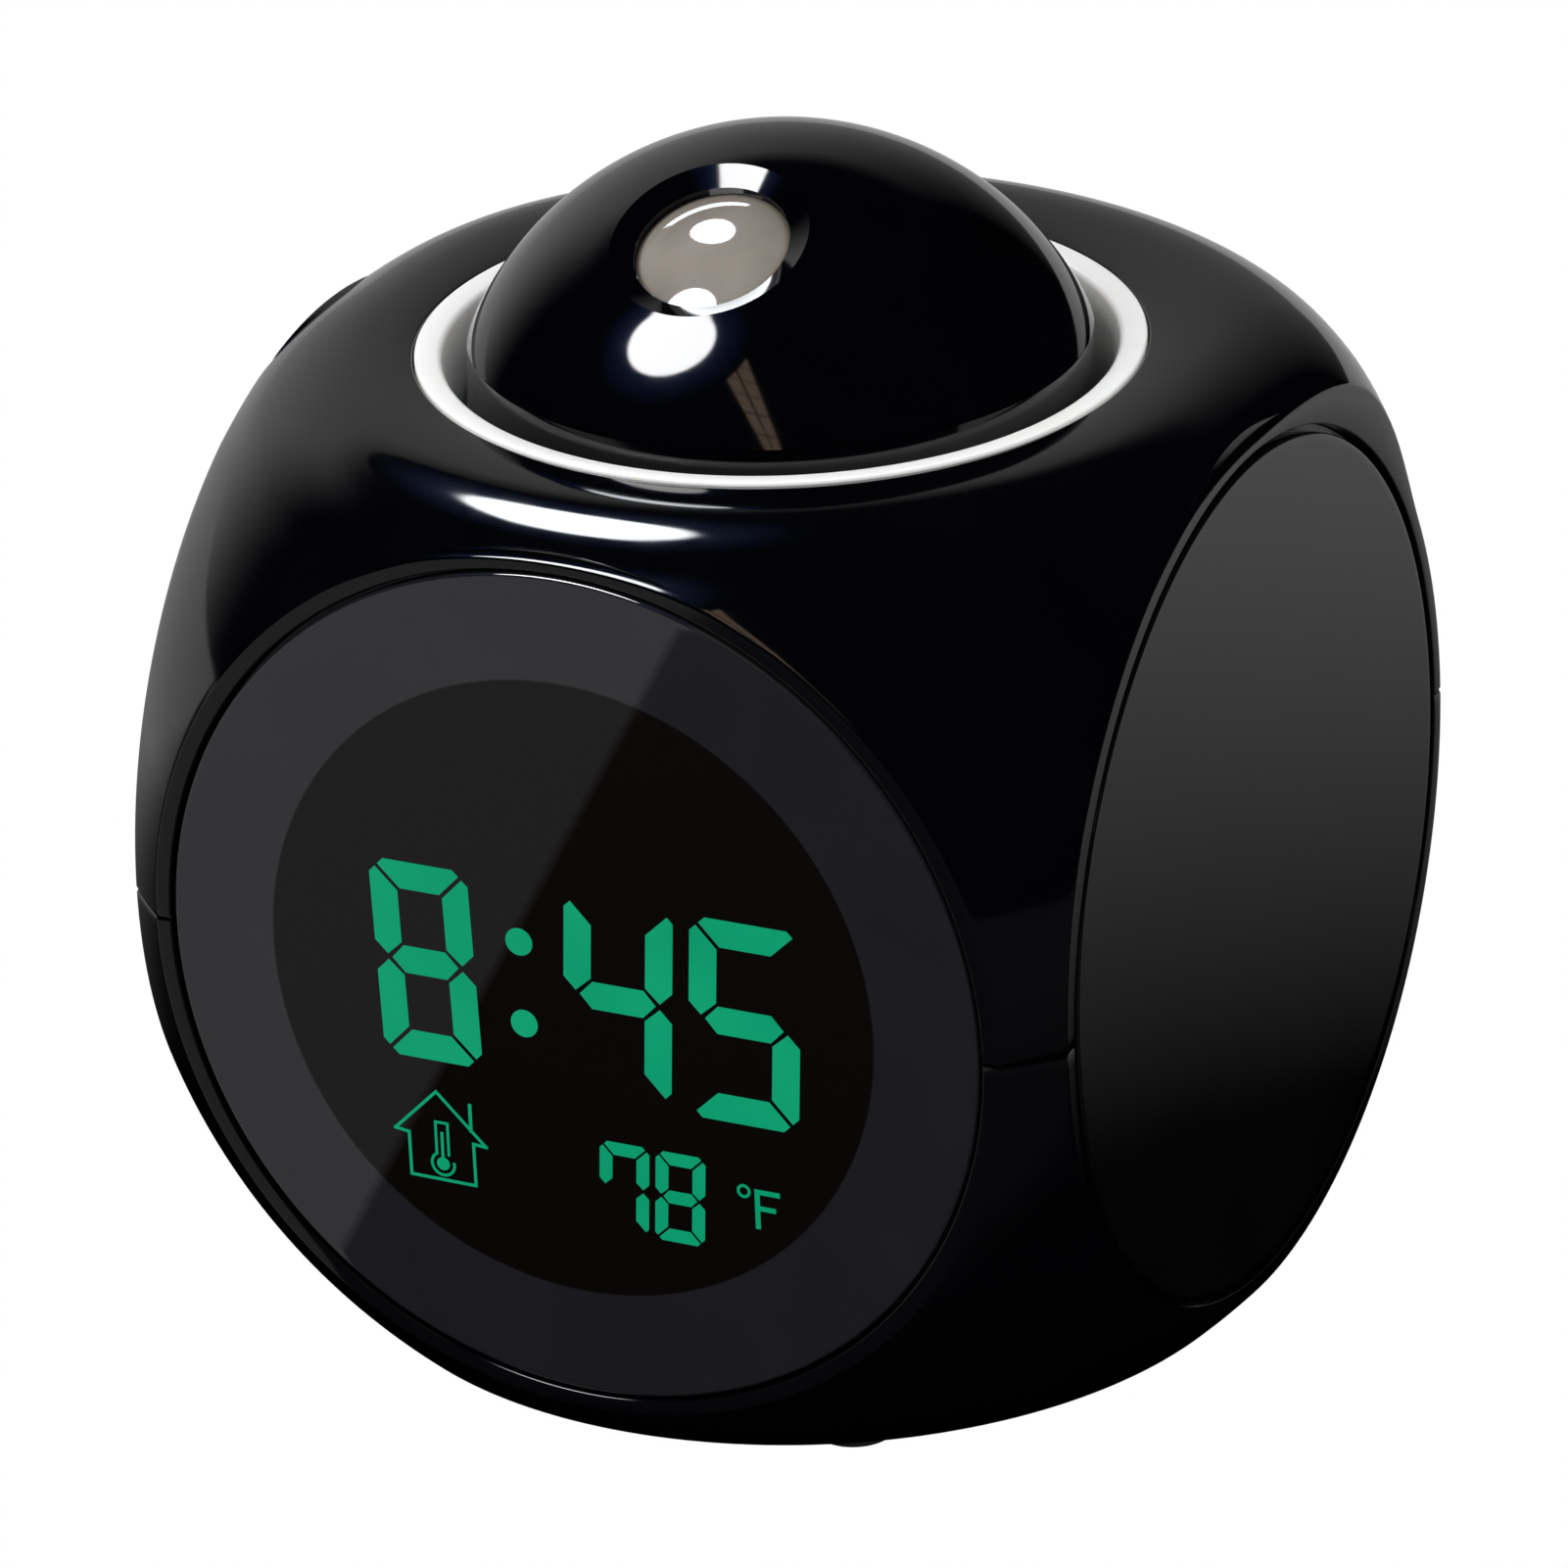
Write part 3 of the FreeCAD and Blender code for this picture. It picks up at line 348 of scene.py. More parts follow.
spring_steel = finish("spring wire", (0.42, 0.41, 0.40), (0.56, 0.55, 0.53), (0.2, 0.3), 6.0, 0.08, 1.0)
speaker_metal = finish("speaker basket", (0.10, 0.10, 0.10), (0.18, 0.18, 0.17), (0.35, 0.5), 3.0, 0.12, 0.7)
clear_guide = finish("milky light guide", (0.75, 0.77, 0.76), (0.85, 0.86, 0.85), (0.18, 0.3), 1.5, 0.05,
                     Subsurface_Weight=0.3)
film = finish("dark projection film", (0.01, 0.01, 0.012), (0.03, 0.03, 0.034), (0.08, 0.14), 2.0, 0.02)
bare_glass = finish("display glass", (0.028, 0.03, 0.026), (0.04, 0.042, 0.036), (0.05, 0.1), 2.0, 0.02)
condenser = finish("moulded optic", (0.5, 0.52, 0.52), (0.6, 0.62, 0.62), (0.04, 0.08), 1.0, 0.02,
                   Transmission_Weight=0.7)


def circuit_board():
    """Green lacquer with faint copper tracks."""
    material = finish("green circuit board", (0.006, 0.045, 0.018), (0.01, 0.062, 0.026), (0.3, 0.42), 2.0, 0.1)
    tree = material.node_tree
    skin = tree.nodes["skin"]
    cells = node(tree, "TexVoronoi", feature="DISTANCE_TO_EDGE")
    cells.inputs["Scale"].default_value = 0.35
    tree.links.new(skin.outputs["Millimetres"], cells.inputs["Vector"])
    track = ranged(tree, cells.outputs["Distance"], 0.03, 0.06, 1.0, 0.0)
    shader = tree.nodes["Principled BSDF"]
    base = shader.inputs["Base Color"].links[0].from_socket
    tree.links.new(mix_colours(tree, track, base, (0.03, 0.12, 0.04)), shader.inputs["Base Color"])
    return material


def cell_wrap():
    """Plain two-tone film round the battery cells, with bare metal at their ends."""
    material = finish("cell wrapping", (0.02, 0.02, 0.024), (0.03, 0.03, 0.034), (0.2, 0.3), 2.0, 0.04)
    tree = material.node_tree
    skin = tree.nodes["skin"]
    axes = node(tree, "SeparateXYZ")
    tree.links.new(skin.outputs["Millimetres"], axes.inputs[0])
    band = ranged(tree, axes.outputs["X"], 8.0, 8.2, 0.0, 1.0)
    shader = tree.nodes["Principled BSDF"]
    base = shader.inputs["Base Color"].links[0].from_socket
    tree.links.new(mix_colours(tree, band, base, (0.32, 0.19, 0.07)), shader.inputs["Base Color"])
    return material


def front_lens_finish():
    """Clear lens over a black print: a slightly warmer, deeper window inside a black ring."""
    material = finish("front lens", (0.008, 0.0083, 0.0105), (0.0098, 0.0101, 0.0128), (0.012, 0.022), 0.3, 0.002)
    tree = material.node_tree
    shader = tree.nodes["Principled BSDF"]
    ring = radius_mask(material, 1, window_r, 0.12)
    base = shader.inputs["Base Color"].links[0].from_socket
    tree.links.new(mix_colours(tree, ring, (0.0016, 0.0008, 0.0005), base), shader.inputs["Base Color"])
    tree.links.new(ring, shader.inputs["Coat Weight"])
    shader.inputs["Coat Roughness"].default_value = 0.015
    return material


def segment_green():
    """Lit green display segments, a little uneven in brightness."""
    material = finish("lit green segment", (0.0005, 0.01, 0.006), (0.001, 0.014, 0.008), (0.3, 0.4), 1.5, 0.0,
                      Specular_IOR_Level=0.15)
    tree = material.node_tree
    shader = tree.nodes["Principled BSDF"]
    skin = tree.nodes["skin"]
    glow = ranged(tree, skin.outputs["Blotch"], 0.3, 0.7, 0.0, 1.0)
    tree.links.new(mix_colours(tree, glow, (0.001, 0.285, 0.132), (0.003, 0.325, 0.152)),
                   shader.inputs["Emission Color"])
    shader.inputs["Emission Strength"].default_value = 1.0
    return material


def projection_glass():
    """Opaque lens whose greyish colour paints the pale inside seen through clear glass, with painted shade that
    makes it darker toward its rim.
    """
    material = finish("projection glass", (0.19, 0.168, 0.143), (0.29, 0.262, 0.23), (0.03, 0.05), 1.0, 0.004,
                      Coat_Weight=0.6)
    tree = material.node_tree
    shader = tree.nodes["Principled BSDF"]
    skin = tree.nodes["skin"]
    along = Vector((0, -math.sin(math.radians(lens_tilt)), math.cos(math.radians(lens_tilt))))
    middle = Vector((0, 0, dome_centre_z)) + along * (lens_low + 0.7)
    away = node(tree, "VectorMath", operation="DISTANCE")
    away.inputs[1].default_value = middle
    tree.links.new(skin.outputs["Millimetres"], away.inputs[0])
    # Painted shade: the lens's colour turns darker toward its rim.
    rim = ranged(tree, away.outputs["Value"], 6.7, 7.35, 0.0, 1.0, True)
    base = shader.inputs["Base Color"].links[0].from_socket
    tree.links.new(mix_colours(tree, rim, base, (0.10, 0.088, 0.075)), shader.inputs["Base Color"])
    return material


board_green = circuit_board()
wrap = cell_wrap()
front_lens_gloss = front_lens_finish()
green_glow = segment_green()
lens_glass = projection_glass()

solid_finishes = {
    "feet": rubber, "battery_door": inner_black, "battery_cells": wrap, "battery_contacts": spring_steel,
    "case_screws": steel, "bridge_screws": steel, "carrier_screws": steel, "head_screws": steel,
    "return_spring": spring_steel, "bridge": inner_black, "head_carrier": inner_black,
    "swivel_washer": inner_white, "press_switch": board_green, "switch_board": board_green,
    "main_board": board_green, "led_board": board_green, "display_frame": inner_black,
    "display_glass": bare_glass, "light_guide": clear_guide, "speaker": speaker_metal,
    "projector_barrel": inner_black, "condenser_lens": condenser, "projection_slide": film,
}
for name, material in solid_finishes.items():
    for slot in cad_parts[name].material_slots:
        slot.material = material


# Case

def eased(value):
    """A soft step from 0 to 1."""
    value = max(0, min(1, value))
    return value * value * (3 - 2 * value)


def top_profile(way):
    """End of the flat top, radius of its rim and of the ball; the two rear corners are a little fuller."""
    level = math.hypot(way.x, way.y)
    back = eased(way.y / level / rear_blend) if level > 0.001 else 0
    ball = ball_r + rear_fullness * back
    flat_r = top_flat_r + rear_flat * back
    rim_r = ((ball - rim_inset) ** 2 - flat_r ** 2 - top_rise ** 2) / (2 * (ball - rim_inset - top_rise))
    return flat_r, rim_r, ball_r + rear_fullness * back * eased((way.z - fuller_from) / fuller_over)


def rim_reach(across, up, flat_r, rim_r):
    """How far a ray from the middle goes before the soft top rim stops it."""
    rim_centre = Vector((flat_r, top_rise - rim_r))
    rim_out = rim_centre.normalized()
    rim_leave = rim_centre + rim_out * rim_r
    way = Vector((across, up)).normalized()
    flat = top_rise / way.y if way.y > 0.01 else ball_r * 2
    slope = rim_leave.dot(rim_out) / way.dot(rim_out) if way.dot(rim_out) > 0.01 else ball_r * 2
    reach = min(flat, slope)
    spot = way * reach
    if (flat <= slope and spot.x > flat_r) or (slope < flat and spot.y > rim_leave.y):
        near = way.dot(rim_centre)
        reach = near + math.sqrt(max(0, near ** 2 - rim_centre.length_squared + rim_r ** 2))
    return reach


def round_reach(way):
    """How far a ray from the middle goes in the ball with its soft top rim."""
    if way.z <= 0:
        return ball_r
    flat_r, rim_r, ball = top_profile(way)
    return min(ball, rim_reach(math.hypot(way.x, way.y), way.z, flat_r, rim_r))


def case_spot(way):
    """Where a ray from the middle of the case meets its outside."""
    way = way.normalized()
    reach = round_reach(way)
    for value in (way.x, way.y):
        if abs(value) > 0.01:
            reach = min(reach, half / abs(value))
    if way.z < -0.01:
        reach = min(reach, bottom_drop / -way.z)
    return way * reach


def land_edge(axis, ring_way, plane):
    """Radius at which a flat face ends and the rounded corner begins."""
    low, high = top_flat_r, half
    for step in range(24):
        radius = (low + high) / 2
        spot = axis * plane + ring_way * radius
        if round_reach(spot.normalized()) > spot.length:
            low = radius
        else:
            high = radius
    return low


def grid_way(u, v):
    """Square rings of a cube's face become circles: the ring's way out, and its place on the cube's edge."""
    if u == 0 and v == 0:
        return (1, 0), (1, 0)
    slope = math.atan(1 / math.sqrt(2))
    if abs(u) >= abs(v):
        turn = math.pi / 4 * v / u
        lean = v / abs(u) * slope
        side = math.copysign(1, u)
        border = (side * math.cos(lean) / math.sqrt(2), math.sin(lean))
        return (side * math.cos(turn), side * math.sin(turn)), border
    turn = math.pi / 4 * u / v
    lean = u / abs(v) * slope
    side = math.copysign(1, v)
    border = (math.sin(lean), side * math.cos(lean) / math.sqrt(2))
    return (side * math.sin(turn), side * math.cos(turn)), border


def case_place(spot):
    """Move a point of a cube's grid onto the case, with its disc pockets and the hole for the ring."""
    main = max(range(3), key=lambda i: round(abs(spot[i]), 4))
    others = [i for i in range(3) if i != main]
    side = math.copysign(1, spot[main])
    axis = Vector((0, 0, 0))
    axis[main] = side
    u, v = (spot[i] for i in others)
    ring = round(max(abs(u), abs(v)) * RINGS)
    circle, border = grid_way(u, v)
    ring_way = Vector((0, 0, 0))
    border_way = Vector((0, 0, 0))
    for i, out, rim in zip(others, circle, border):
        ring_way[i] = out
        border_way[i] = rim
    border_way[main] = side * math.sqrt(max(0, 1 - border_way.length_squared))
    if main == 2 and side > 0:
        flat_r = top_profile(ring_way)[0]
        radii = {MOUTH_RING: ring_hole_r, LAND_RING: flat_r - land_inset}
        if ring <= WALL_RING:
            return axis * (top_rise - case_wall) + ring_way * (ring_hole_r * ring / WALL_RING)
        last = SOFT_RING
        flat = axis * top_rise + ring_way * radii.get(ring, flat_r)
    elif main == 2:
        last = LAND_RING
        edge = land_edge(axis, ring_way, bottom_drop)
        flat = axis * bottom_drop + ring_way * (edge * min(ring, LAND_RING) / LAND_RING)
    else:
        last = LAND_RING
        if ring <= WALL_RING:
            return axis * (half - disc_t) + ring_way * (pocket_r * ring / WALL_RING)
        edge = land_edge(axis, ring_way, half) if ring > MOUTH_RING else pocket_r
        flat = axis * half + ring_way * edge
    if ring <= last:
        return flat
    share = (ring - last) / (RINGS - last)
    return case_spot(flat.normalized().slerp(border_way, share))


def case_form():
    """The whole outside of the case, bent from a cube's grid, with its edges rounded."""
    form = bmesh.new()
    bmesh.ops.create_cube(form, size=2)
    bmesh.ops.subdivide_edges(form, edges=form.edges, cuts=2 * RINGS - 1, use_grid_fill=True)
    for vert in form.verts:
        vert.co = case_place(vert.co)
    hole = [f for f in form.faces if f.calc_center_median().z > top_rise - case_wall - 0.1
            and f.calc_center_median().xy.length < ring_hole_r - 0.1]
    bmesh.ops.delete(form, geom=hole, context="FACES")
    bmesh.ops.recalc_face_normals(form, faces=form.faces)
    return bevel_sharp(form, case_edge_round, 18)


def half_case(whole, upper):
    """One shell of the case, with its wall; a fine gap is left between the two at the seam."""
    form = whole.copy()
    level = seam_gap / 2 if upper else -seam_gap / 2
    bmesh.ops.bisect_plane(form, geom=form.verts[:] + form.edges[:] + form.faces[:], dist=0.0005,
                           plane_co=(0, 0, level), plane_no=(0, 0, 1), clear_inner=upper, clear_outer=not upper)
    chamfer = level + (seam_chamfer_h if upper else -seam_chamfer_h)
    bmesh.ops.bisect_plane(form, geom=form.verts[:] + form.edges[:] + form.faces[:], dist=0.0005,
                           plane_co=(0, 0, chamfer), plane_no=(0, 0, 1))
    for vert in form.verts:
        if abs(vert.co.z - level) < 0.001:
            vert.co.xy *= 1 - seam_chamfer_w / vert.co.xy.length
    if not upper:
        flat = [f for f in form.faces if f.calc_center_median().z < 0.01 - bottom_drop]
        bmesh.ops.delete(form, geom=flat, context="FACES")
    form = shaped(form, "SOLIDIFY", thickness=case_wall, offset=-1.0)
    return place(form, shift=(0, 0, mid_z))


def case_floor():
    """The flat underside, with the door's place, the foot recesses and the screw wells cut in it."""
    edge = math.sqrt(ball_r ** 2 - bottom_drop ** 2) - case_edge_round
    low = mid_z - bottom_drop
    disc = lathe([(0, low), (edge * 0.6, low), (edge, low), (edge, low + case_wall), (0, low + case_wall)])
    return cut(disc, underside_tools())


def underside_tools():
    """What opens the bottom of the lower shell: the door's place, foot recesses and screw wells."""
    tools = block(*door_half, 6.0, 2.0)
    for x in (-1, 1):
        for y in (-1, 1):
            add_form(tools, place(rod(foot_recess_r, 2.0, 64), shift=(foot_spot[0] * x, foot_spot[1] * y, 0.8)))
            add_form(tools, place(rod(screw_well_r, 6.0, 48), shift=(screw_spot * x, screw_spot * y, 2.0)))
    return tools


whole_case = case_form()
upper_case = half_case(whole_case, True)
lower_case = add_form(half_case(whole_case, False), case_floor())
whole_case.free()
make_piece("upper_case", upper_case, gloss_black, "case", "gloss_black", "upper_shell")
make_piece("lower_case", lower_case, gloss_black, "case", "gloss_black", "lower_shell")

box_height = 12.8
battery_box = cut(block(28.0, 20.0, box_height, 9.2), block(24.9, 16.65, box_height, 7.4))
battery_box = bevel_sharp(battery_box, 0.3, 40, 2)
make_piece("battery_box", battery_box, inner_black, "case", "black_plastic")

posts = bmesh.new()
for x in (-screw_spot, screw_spot):
    for y in (-screw_spot, screw_spot):
        post = lathe([(screw_well_r, post_low_z), (post_r, post_low_z), (post_r, post_top_z),
                      (screw_well_r, post_top_z), (screw_well_r, post_low_z)], 48)
        add_form(posts, place(post, shift=(x, y, 0)))
make_piece("screw_posts", posts, inner_black, "case", "black_plastic")


# Round face discs, their buttons and the sound slots

def disc_form(radius, direction):
    """A flat disc with a rounded rim, in the pocket of the side that it faces."""
    edge = corner(radius - disc_edge_round, disc_t - disc_edge_round, disc_edge_round, 90, 0)
    points = [(0, disc_t), (radius * 0.5, disc_t), (radius - 0.9, disc_t)] + edge + [(radius, 0), (0, 0)]
    way = Vector(direction)
    return place(lathe(points), facing(way), way * (half - disc_t) + Vector((0, 0, mid_z)))


make_piece("front_lens", disc_form(front_disc_r, (0, -1, 0)), front_lens_gloss, "case", "clear_lens",
           "display_lens")
make_piece("left_disc", disc_form(cover_disc_r, (-1, 0, 0)), disc_grey, "case", "disc_grey", "left_cover")
make_piece("right_disc", disc_form(cover_disc_r, (1, 0, 0)), disc_grey, "case", "disc_grey", "right_cover")


def slot_tool(half_length, height, x, z):
    """A straight slot with round ends, through the rear disc."""
    r = height / 2
    form = rod(r, 4.0, 32)
    for vert in form.verts:
        vert.co.x += math.copysign(half_length - r, vert.co.x) if abs(vert.co.x) > 0.0001 else 0
    return place(form, Matrix.Rotation(math.radians(90), 3, "X"), (x, half - disc_t / 2, z))


rear_tools = bmesh.new()
turn = Matrix.Rotation(math.radians(90), 3, "X")
for name in ("mode_button", "set_button", "up_button", "down_button"):
    low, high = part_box(name)
    middle = (low + high) / 2 * PER_METRE
    add_form(rear_tools, place(rod(key_hole_r, 4.0, 64), turn, (middle.x, half - disc_t / 2, middle.z)))
    # Outline of a key: its cap, the flange that stays behind the disc, and its stem.
    cap = [(0, 12.1), (2.2, 12.1)] + corner(2.7, 11.8, 0.3, 90, 0) + \
        [(3.0, 9.5), (4.2, 9.5), (4.2, 8.5), (2.0, 8.5), (2.0, 0), (0, 0)]
    button = place(lathe(cap, 96), facing((0, 1, 0)), (middle.x, key_back_y, middle.z))
    make_piece(name + "_cap", button, button_grey, name.replace("button", "key"), "button_grey", name)
for i in range(slot_count):
    offset = (i - slot_count // 2) * slot_pitch
    half_length = math.sqrt(sound_r ** 2 - offset ** 2)
    add_form(rear_tools, slot_tool(half_length, slot_height, 0, sound_z + offset))
rear = cut(disc_form(cover_disc_r, (0, 1, 0)), rear_tools)
rear = bevel_sharp(rear, 0.12, 60, 2)
rear_piece = make_piece("rear_disc", rear, disc_grey, "case", "disc_grey", "rear_panel")
for face in rear_piece.data.polygons:
    face.use_smooth = abs(face.normal.y) < 0.999


# Display segments

def plate(form, points):
    """A thin flat shape on the lens, from (x, z) points about the middle of the face."""
    face = form.faces.new([form.verts.new((x, -half, z + mid_z)) for x, z in points])
    raised = bmesh.ops.extrude_face_region(form, geom=[face])
    verts = [v for v in raised["geom"] if isinstance(v, bmesh.types.BMVert)]
    bmesh.ops.translate(form, verts=verts, vec=(0, -segment_t, 0))


def bar(form, start, end, width):
    """A straight stroke with square ends that run on by half its width."""
    a, b = Vector(start), Vector(end)
    along = (b - a).normalized() * width / 2
    side = Vector((-along.y, along.x))
    plate(form, [(c.x, c.y) for c in (a - along + side, a - along - side, b + along - side, b + along + side)])


def round_plate(form, x, z, radius, steps=32):
    """A thin round shape on the lens."""
    plate(form, [(x + radius * math.cos(math.tau * i / steps), z + radius * math.sin(math.tau * i / steps))
                 for i in range(steps)])


SEGMENTS = {"4": "bcfg", "5": "acdfg", "7": "abcf", "8": "abcdefg"}


def segment_points(letter, w, h, t, gap):
    """Outline of one segment of a digit of half width w, half height h and stroke t."""
    c = t * 0.22
    if letter == "g":
        return [(-w + t / 2 + gap, 0), (-w + t + gap * 0.6, t / 2), (w - t - gap * 0.6, t / 2),
                (w - t / 2 - gap, 0), (w - t - gap * 0.6, -t / 2), (-w + t + gap * 0.6, -t / 2)]
    if letter in "ad":
        up = 1 if letter == "a" else -1
        points = [(-w + 2 * c + gap, h), (w - 2 * c - gap, h), (w - c - gap, h - c), (w - t - gap, h - t),
                  (-w + t + gap, h - t), (-w + c + gap, h - c)]
        return [(x, up * z) for x, z in points]
    left = -1 if letter in "ef" else 1
    up = 1 if letter in "bf" else -1
    points = [(w, h - 2 * c - gap), (w - c, h - c - gap), (w - t, h - t - gap), (w - t, t * 0.5 + gap),
              (w - t * 0.45, gap), (w, t * 0.45 + gap)]
    return [(left * x, up * z) for x, z in points]


def digit(form, sign, x, z, width, height, stroke, gap, lean):
    """One seven segment digit about (x, z)."""
    for letter in SEGMENTS[sign]:
        points = segment_points(letter, width / 2, height / 2, stroke, gap)
        plate(form, [(x + across + lean * up, z + up) for across, up in points])


digits = bmesh.new()
for sign, x, z, width, height, lean in (
        ("8", -14.75, 0.25, 10.1, 19.7, -0.036), ("4", 4.85, -0.05, 11.0, 20.1, 0.05),
        ("5", 17.6, -0.3, 11.2, 20.2, 0.05)):
    digit(digits, sign, x, z, width, height, big_stroke, big_gap, lean)
for x, z in ((-5.0, 4.05), (-4.85, -4.15)):
    round_plate(digits, x, z, 1.37)
for sign, x in (("7", 4.65), ("8", 10.35)):
    digit(digits, sign, x, small_z, *small_size, small_stroke, small_gap, 0.05)
bmesh.ops.recalc_face_normals(digits, faces=digits.faces)
make_piece("display_digits", digits, green_glow, "case", "display")


def stroke_path(form, points, width):
    """Straight strokes from point to point."""
    for start, end in zip(points, points[1:]):
        bar(form, start, end, width)


def ring_path(x, z, radius, start=0.0, turn=math.tau, steps=24):
    """Points of a circle about (x, z), or of a part of it."""
    return [(x + radius * math.cos(start + turn * i / steps), z + radius * math.sin(start + turn * i / steps))
            for i in range(steps + 1)]


icons = bmesh.new()
stroke_path(icons, [(-14.4, -12.8), (-18.8, -17.2), (-17.4, -17.4), (-17.35, -21.7), (-10.7, -21.75),
                    (-10.75, -17.5), (-9.45, -17.6), (-14.4, -12.8)], 0.3)
stroke_path(icons, [(-10.95, -13.6), (-10.95, -16.2)], 0.34)
tube_x = -14.0
tube = 0.62
bulb_z = -20.1
bulb_r = 1.15
around = ring_path(tube_x, bulb_z, bulb_r, math.acos(-tube / bulb_r), math.tau - 2 * math.acos(tube / bulb_r))
stroke_path(icons, [(tube_x - tube, -19.1), (tube_x - tube, -15.9), (tube_x + tube, -15.9),
                    (tube_x + tube, -19.1)], 0.26)
stroke_path(icons, around, 0.26)
stroke_path(icons, [(tube_x, -17.0), (tube_x, bulb_z)], 0.3)
round_plate(icons, tube_x, bulb_z, 0.66)
stroke_path(icons, [(20.25, -17.0), (18.2, -17.0), (18.2, -20.5)], 0.5)
stroke_path(icons, [(18.2, -18.65), (19.8, -18.65)], 0.5)
stroke_path(icons, ring_path(16.85, -17.15, 0.55, steps=16), 0.26)
bmesh.ops.recalc_face_normals(icons, faces=icons.faces)
make_piece("display_icons", icons, green_glow, "case", "display")


# White ring and the projector head

lip = 0.25
ring_points = corner(ring_outer_r - lip, ring_z - lip, lip, 0, 90, 4) + \
    corner(ring_bore_r + 0.7, ring_z - ring_dip - 0.7, 0.7, 95, 175, 6) + [
        (30.75, ring_z - 3.0), (30.45, ring_z - 6.0), (30.4, 86.0),
        (ring_foot_bore_r, ring_low_z), (ring_foot_bore_r + 1.7, ring_low_z), (ring_bore_r + 1.7, 89.0),
        (36.2, 89.0), (36.2, 90.8), (ring_outer_r, 90.8), (ring_outer_r, ring_z - lip)]
make_piece("white_ring", lathe(ring_points), ring_white, "case", "white_plastic", "top_ring")

cup_points = [(29.35, 76.05), (29.9, 76.3)] + corner(28.9, seam_z - 0.06, 0.06, 0, 90, 2) + [
    (27.0, seam_z), (27.6, 78.05), (5.0, 78.05), (5.0, 72.35), (8.0, 72.35), (8.0, 76.05), (29.35, 76.05)]
make_piece("head_cup", lathe(cup_points), head_black, "head", "gloss_black", "head_base")


def aimed(form):
    """Move a form drawn along +Z onto the axis of the projection lens."""
    return place(form, Matrix.Rotation(math.radians(lens_tilt), 3, "X"), (0, 0, dome_centre_z))


def dome_form():
    """Ball cap with a hole for the lens, turned about the lens axis and cut level at its foot."""
    mouth = math.degrees(math.acos(mouth_r / dome_r))
    points = corner(0, 0, dome_r, mouth, -8, 64)
    form = aimed(lathe(points))
    if sum(f.normal.dot(f.calc_center_median() - Vector((0, 0, dome_centre_z))) for f in form.faces) < 0:
        bmesh.ops.reverse_faces(form, faces=form.faces)
    bmesh.ops.bisect_plane(form, geom=form.verts[:] + form.edges[:] + form.faces[:], dist=0.0005,
                           plane_co=(0, 0, seam_z + 0.15), plane_no=(0, 0, -1), clear_outer=True)
    return shaped(form, "SOLIDIFY", thickness=2.0, offset=-1.0)


make_piece("head_dome_shell", dome_form(), head_black, "head", "gloss_black", "head_dome")

rim = math.sqrt(dome_r ** 2 - mouth_r ** 2)
mouth_points = [(8.25, 26.0), (9.38, 26.0), (9.38, rim), (7.34, 29.45), (7.34, 28.25), (8.25, 28.25),
                (8.25, 26.0)]
make_piece("lens_mouth", aimed(lathe(mouth_points, 192)), head_black, "head", "gloss_black", "lens_tunnel")

bulge = 1.5
crown_edge_r = 7.3
crown_r = (crown_edge_r ** 2 + bulge ** 2) / (2 * bulge)
half_angle = math.degrees(math.asin(crown_edge_r / crown_r))
crown = corner(0, lens_low + bulge - crown_r, crown_r, 90, 90 - half_angle, 20)
lens_points = crown + [(crown_edge_r, 28.2), (8.2, 28.2), (8.2, 26.0), (0, 26.0)]
make_piece("lens_glass", aimed(lathe(lens_points, 192)), lens_glass, "head", "projection_glass",
           "projection_lens")


# Floor, light and camera

def shader_mix(tree, factor, first, second):
    """The first shader at a factor of 0 and the second at 1."""
    mix = node(tree, "MixShader")
    for value, socket in zip((factor, first, second), mix.inputs):
        tree.links.new(value, socket)
    return mix.outputs[0]


def sum_or_product(tree, operation, first, second):
    made = node(tree, "Math", operation=operation)
    tree.links.new(first, made.inputs[0])
    tree.links.new(second, made.inputs[1])
    return made.outputs[0]


def stage_glow(name, form, matrix, layers):
    """A glowing sheet that only reflections see; its layers fade outwards from its own middle."""
    material = bpy.data.materials.new(name)
    material.use_nodes = True
    tree = material.node_tree
    tree.nodes.clear()
    spot = node(tree, "TexCoord")
    out = node(tree, "VectorMath", operation="LENGTH")
    tree.links.new(spot.outputs["Object"], out.inputs[0])
    total = None
    for full, fade, colour, strength in layers:
        glow = node(tree, "Emission")
        glow.inputs["Color"].default_value = (*colour, 1)
        level = ranged(tree, out.outputs["Value"], full, fade, strength, 0.0, True)
        tree.links.new(level, glow.inputs["Strength"])
        if total:
            both = node(tree, "AddShader")
            tree.links.new(total, both.inputs[0])
            tree.links.new(glow.outputs[0], both.inputs[1])
            total = both.outputs[0]
        else:
            total = glow.outputs[0]
    tree.links.new(total, node(tree, "OutputMaterial").inputs["Surface"])
    made = mesh_object(name, form)
    made.data.materials.append(material)
    made.matrix_world = matrix
    made.visible_camera = False
    made.visible_diffuse = False
    made.visible_shadow = False
    made.visible_transmission = False


def light_box(name, direction, start, width, height, turn, layers):
    """A round box of light 0.6 m from a point, as its reflections show it."""
    way = Vector(direction).normalized()
    form = bmesh.new()
    bmesh.ops.create_circle(form, cap_ends=True, segments=64, radius=0.5)
    aim = way.to_track_quat("Z", "Y").to_matrix().to_4x4() @ Matrix.Rotation(math.radians(turn), 4, "Z")
    spot = Matrix.Translation(Vector(start) + way * 0.6)
    stage_glow(name, form, spot @ aim @ Matrix.Diagonal((width, height, 1, 1)), layers)


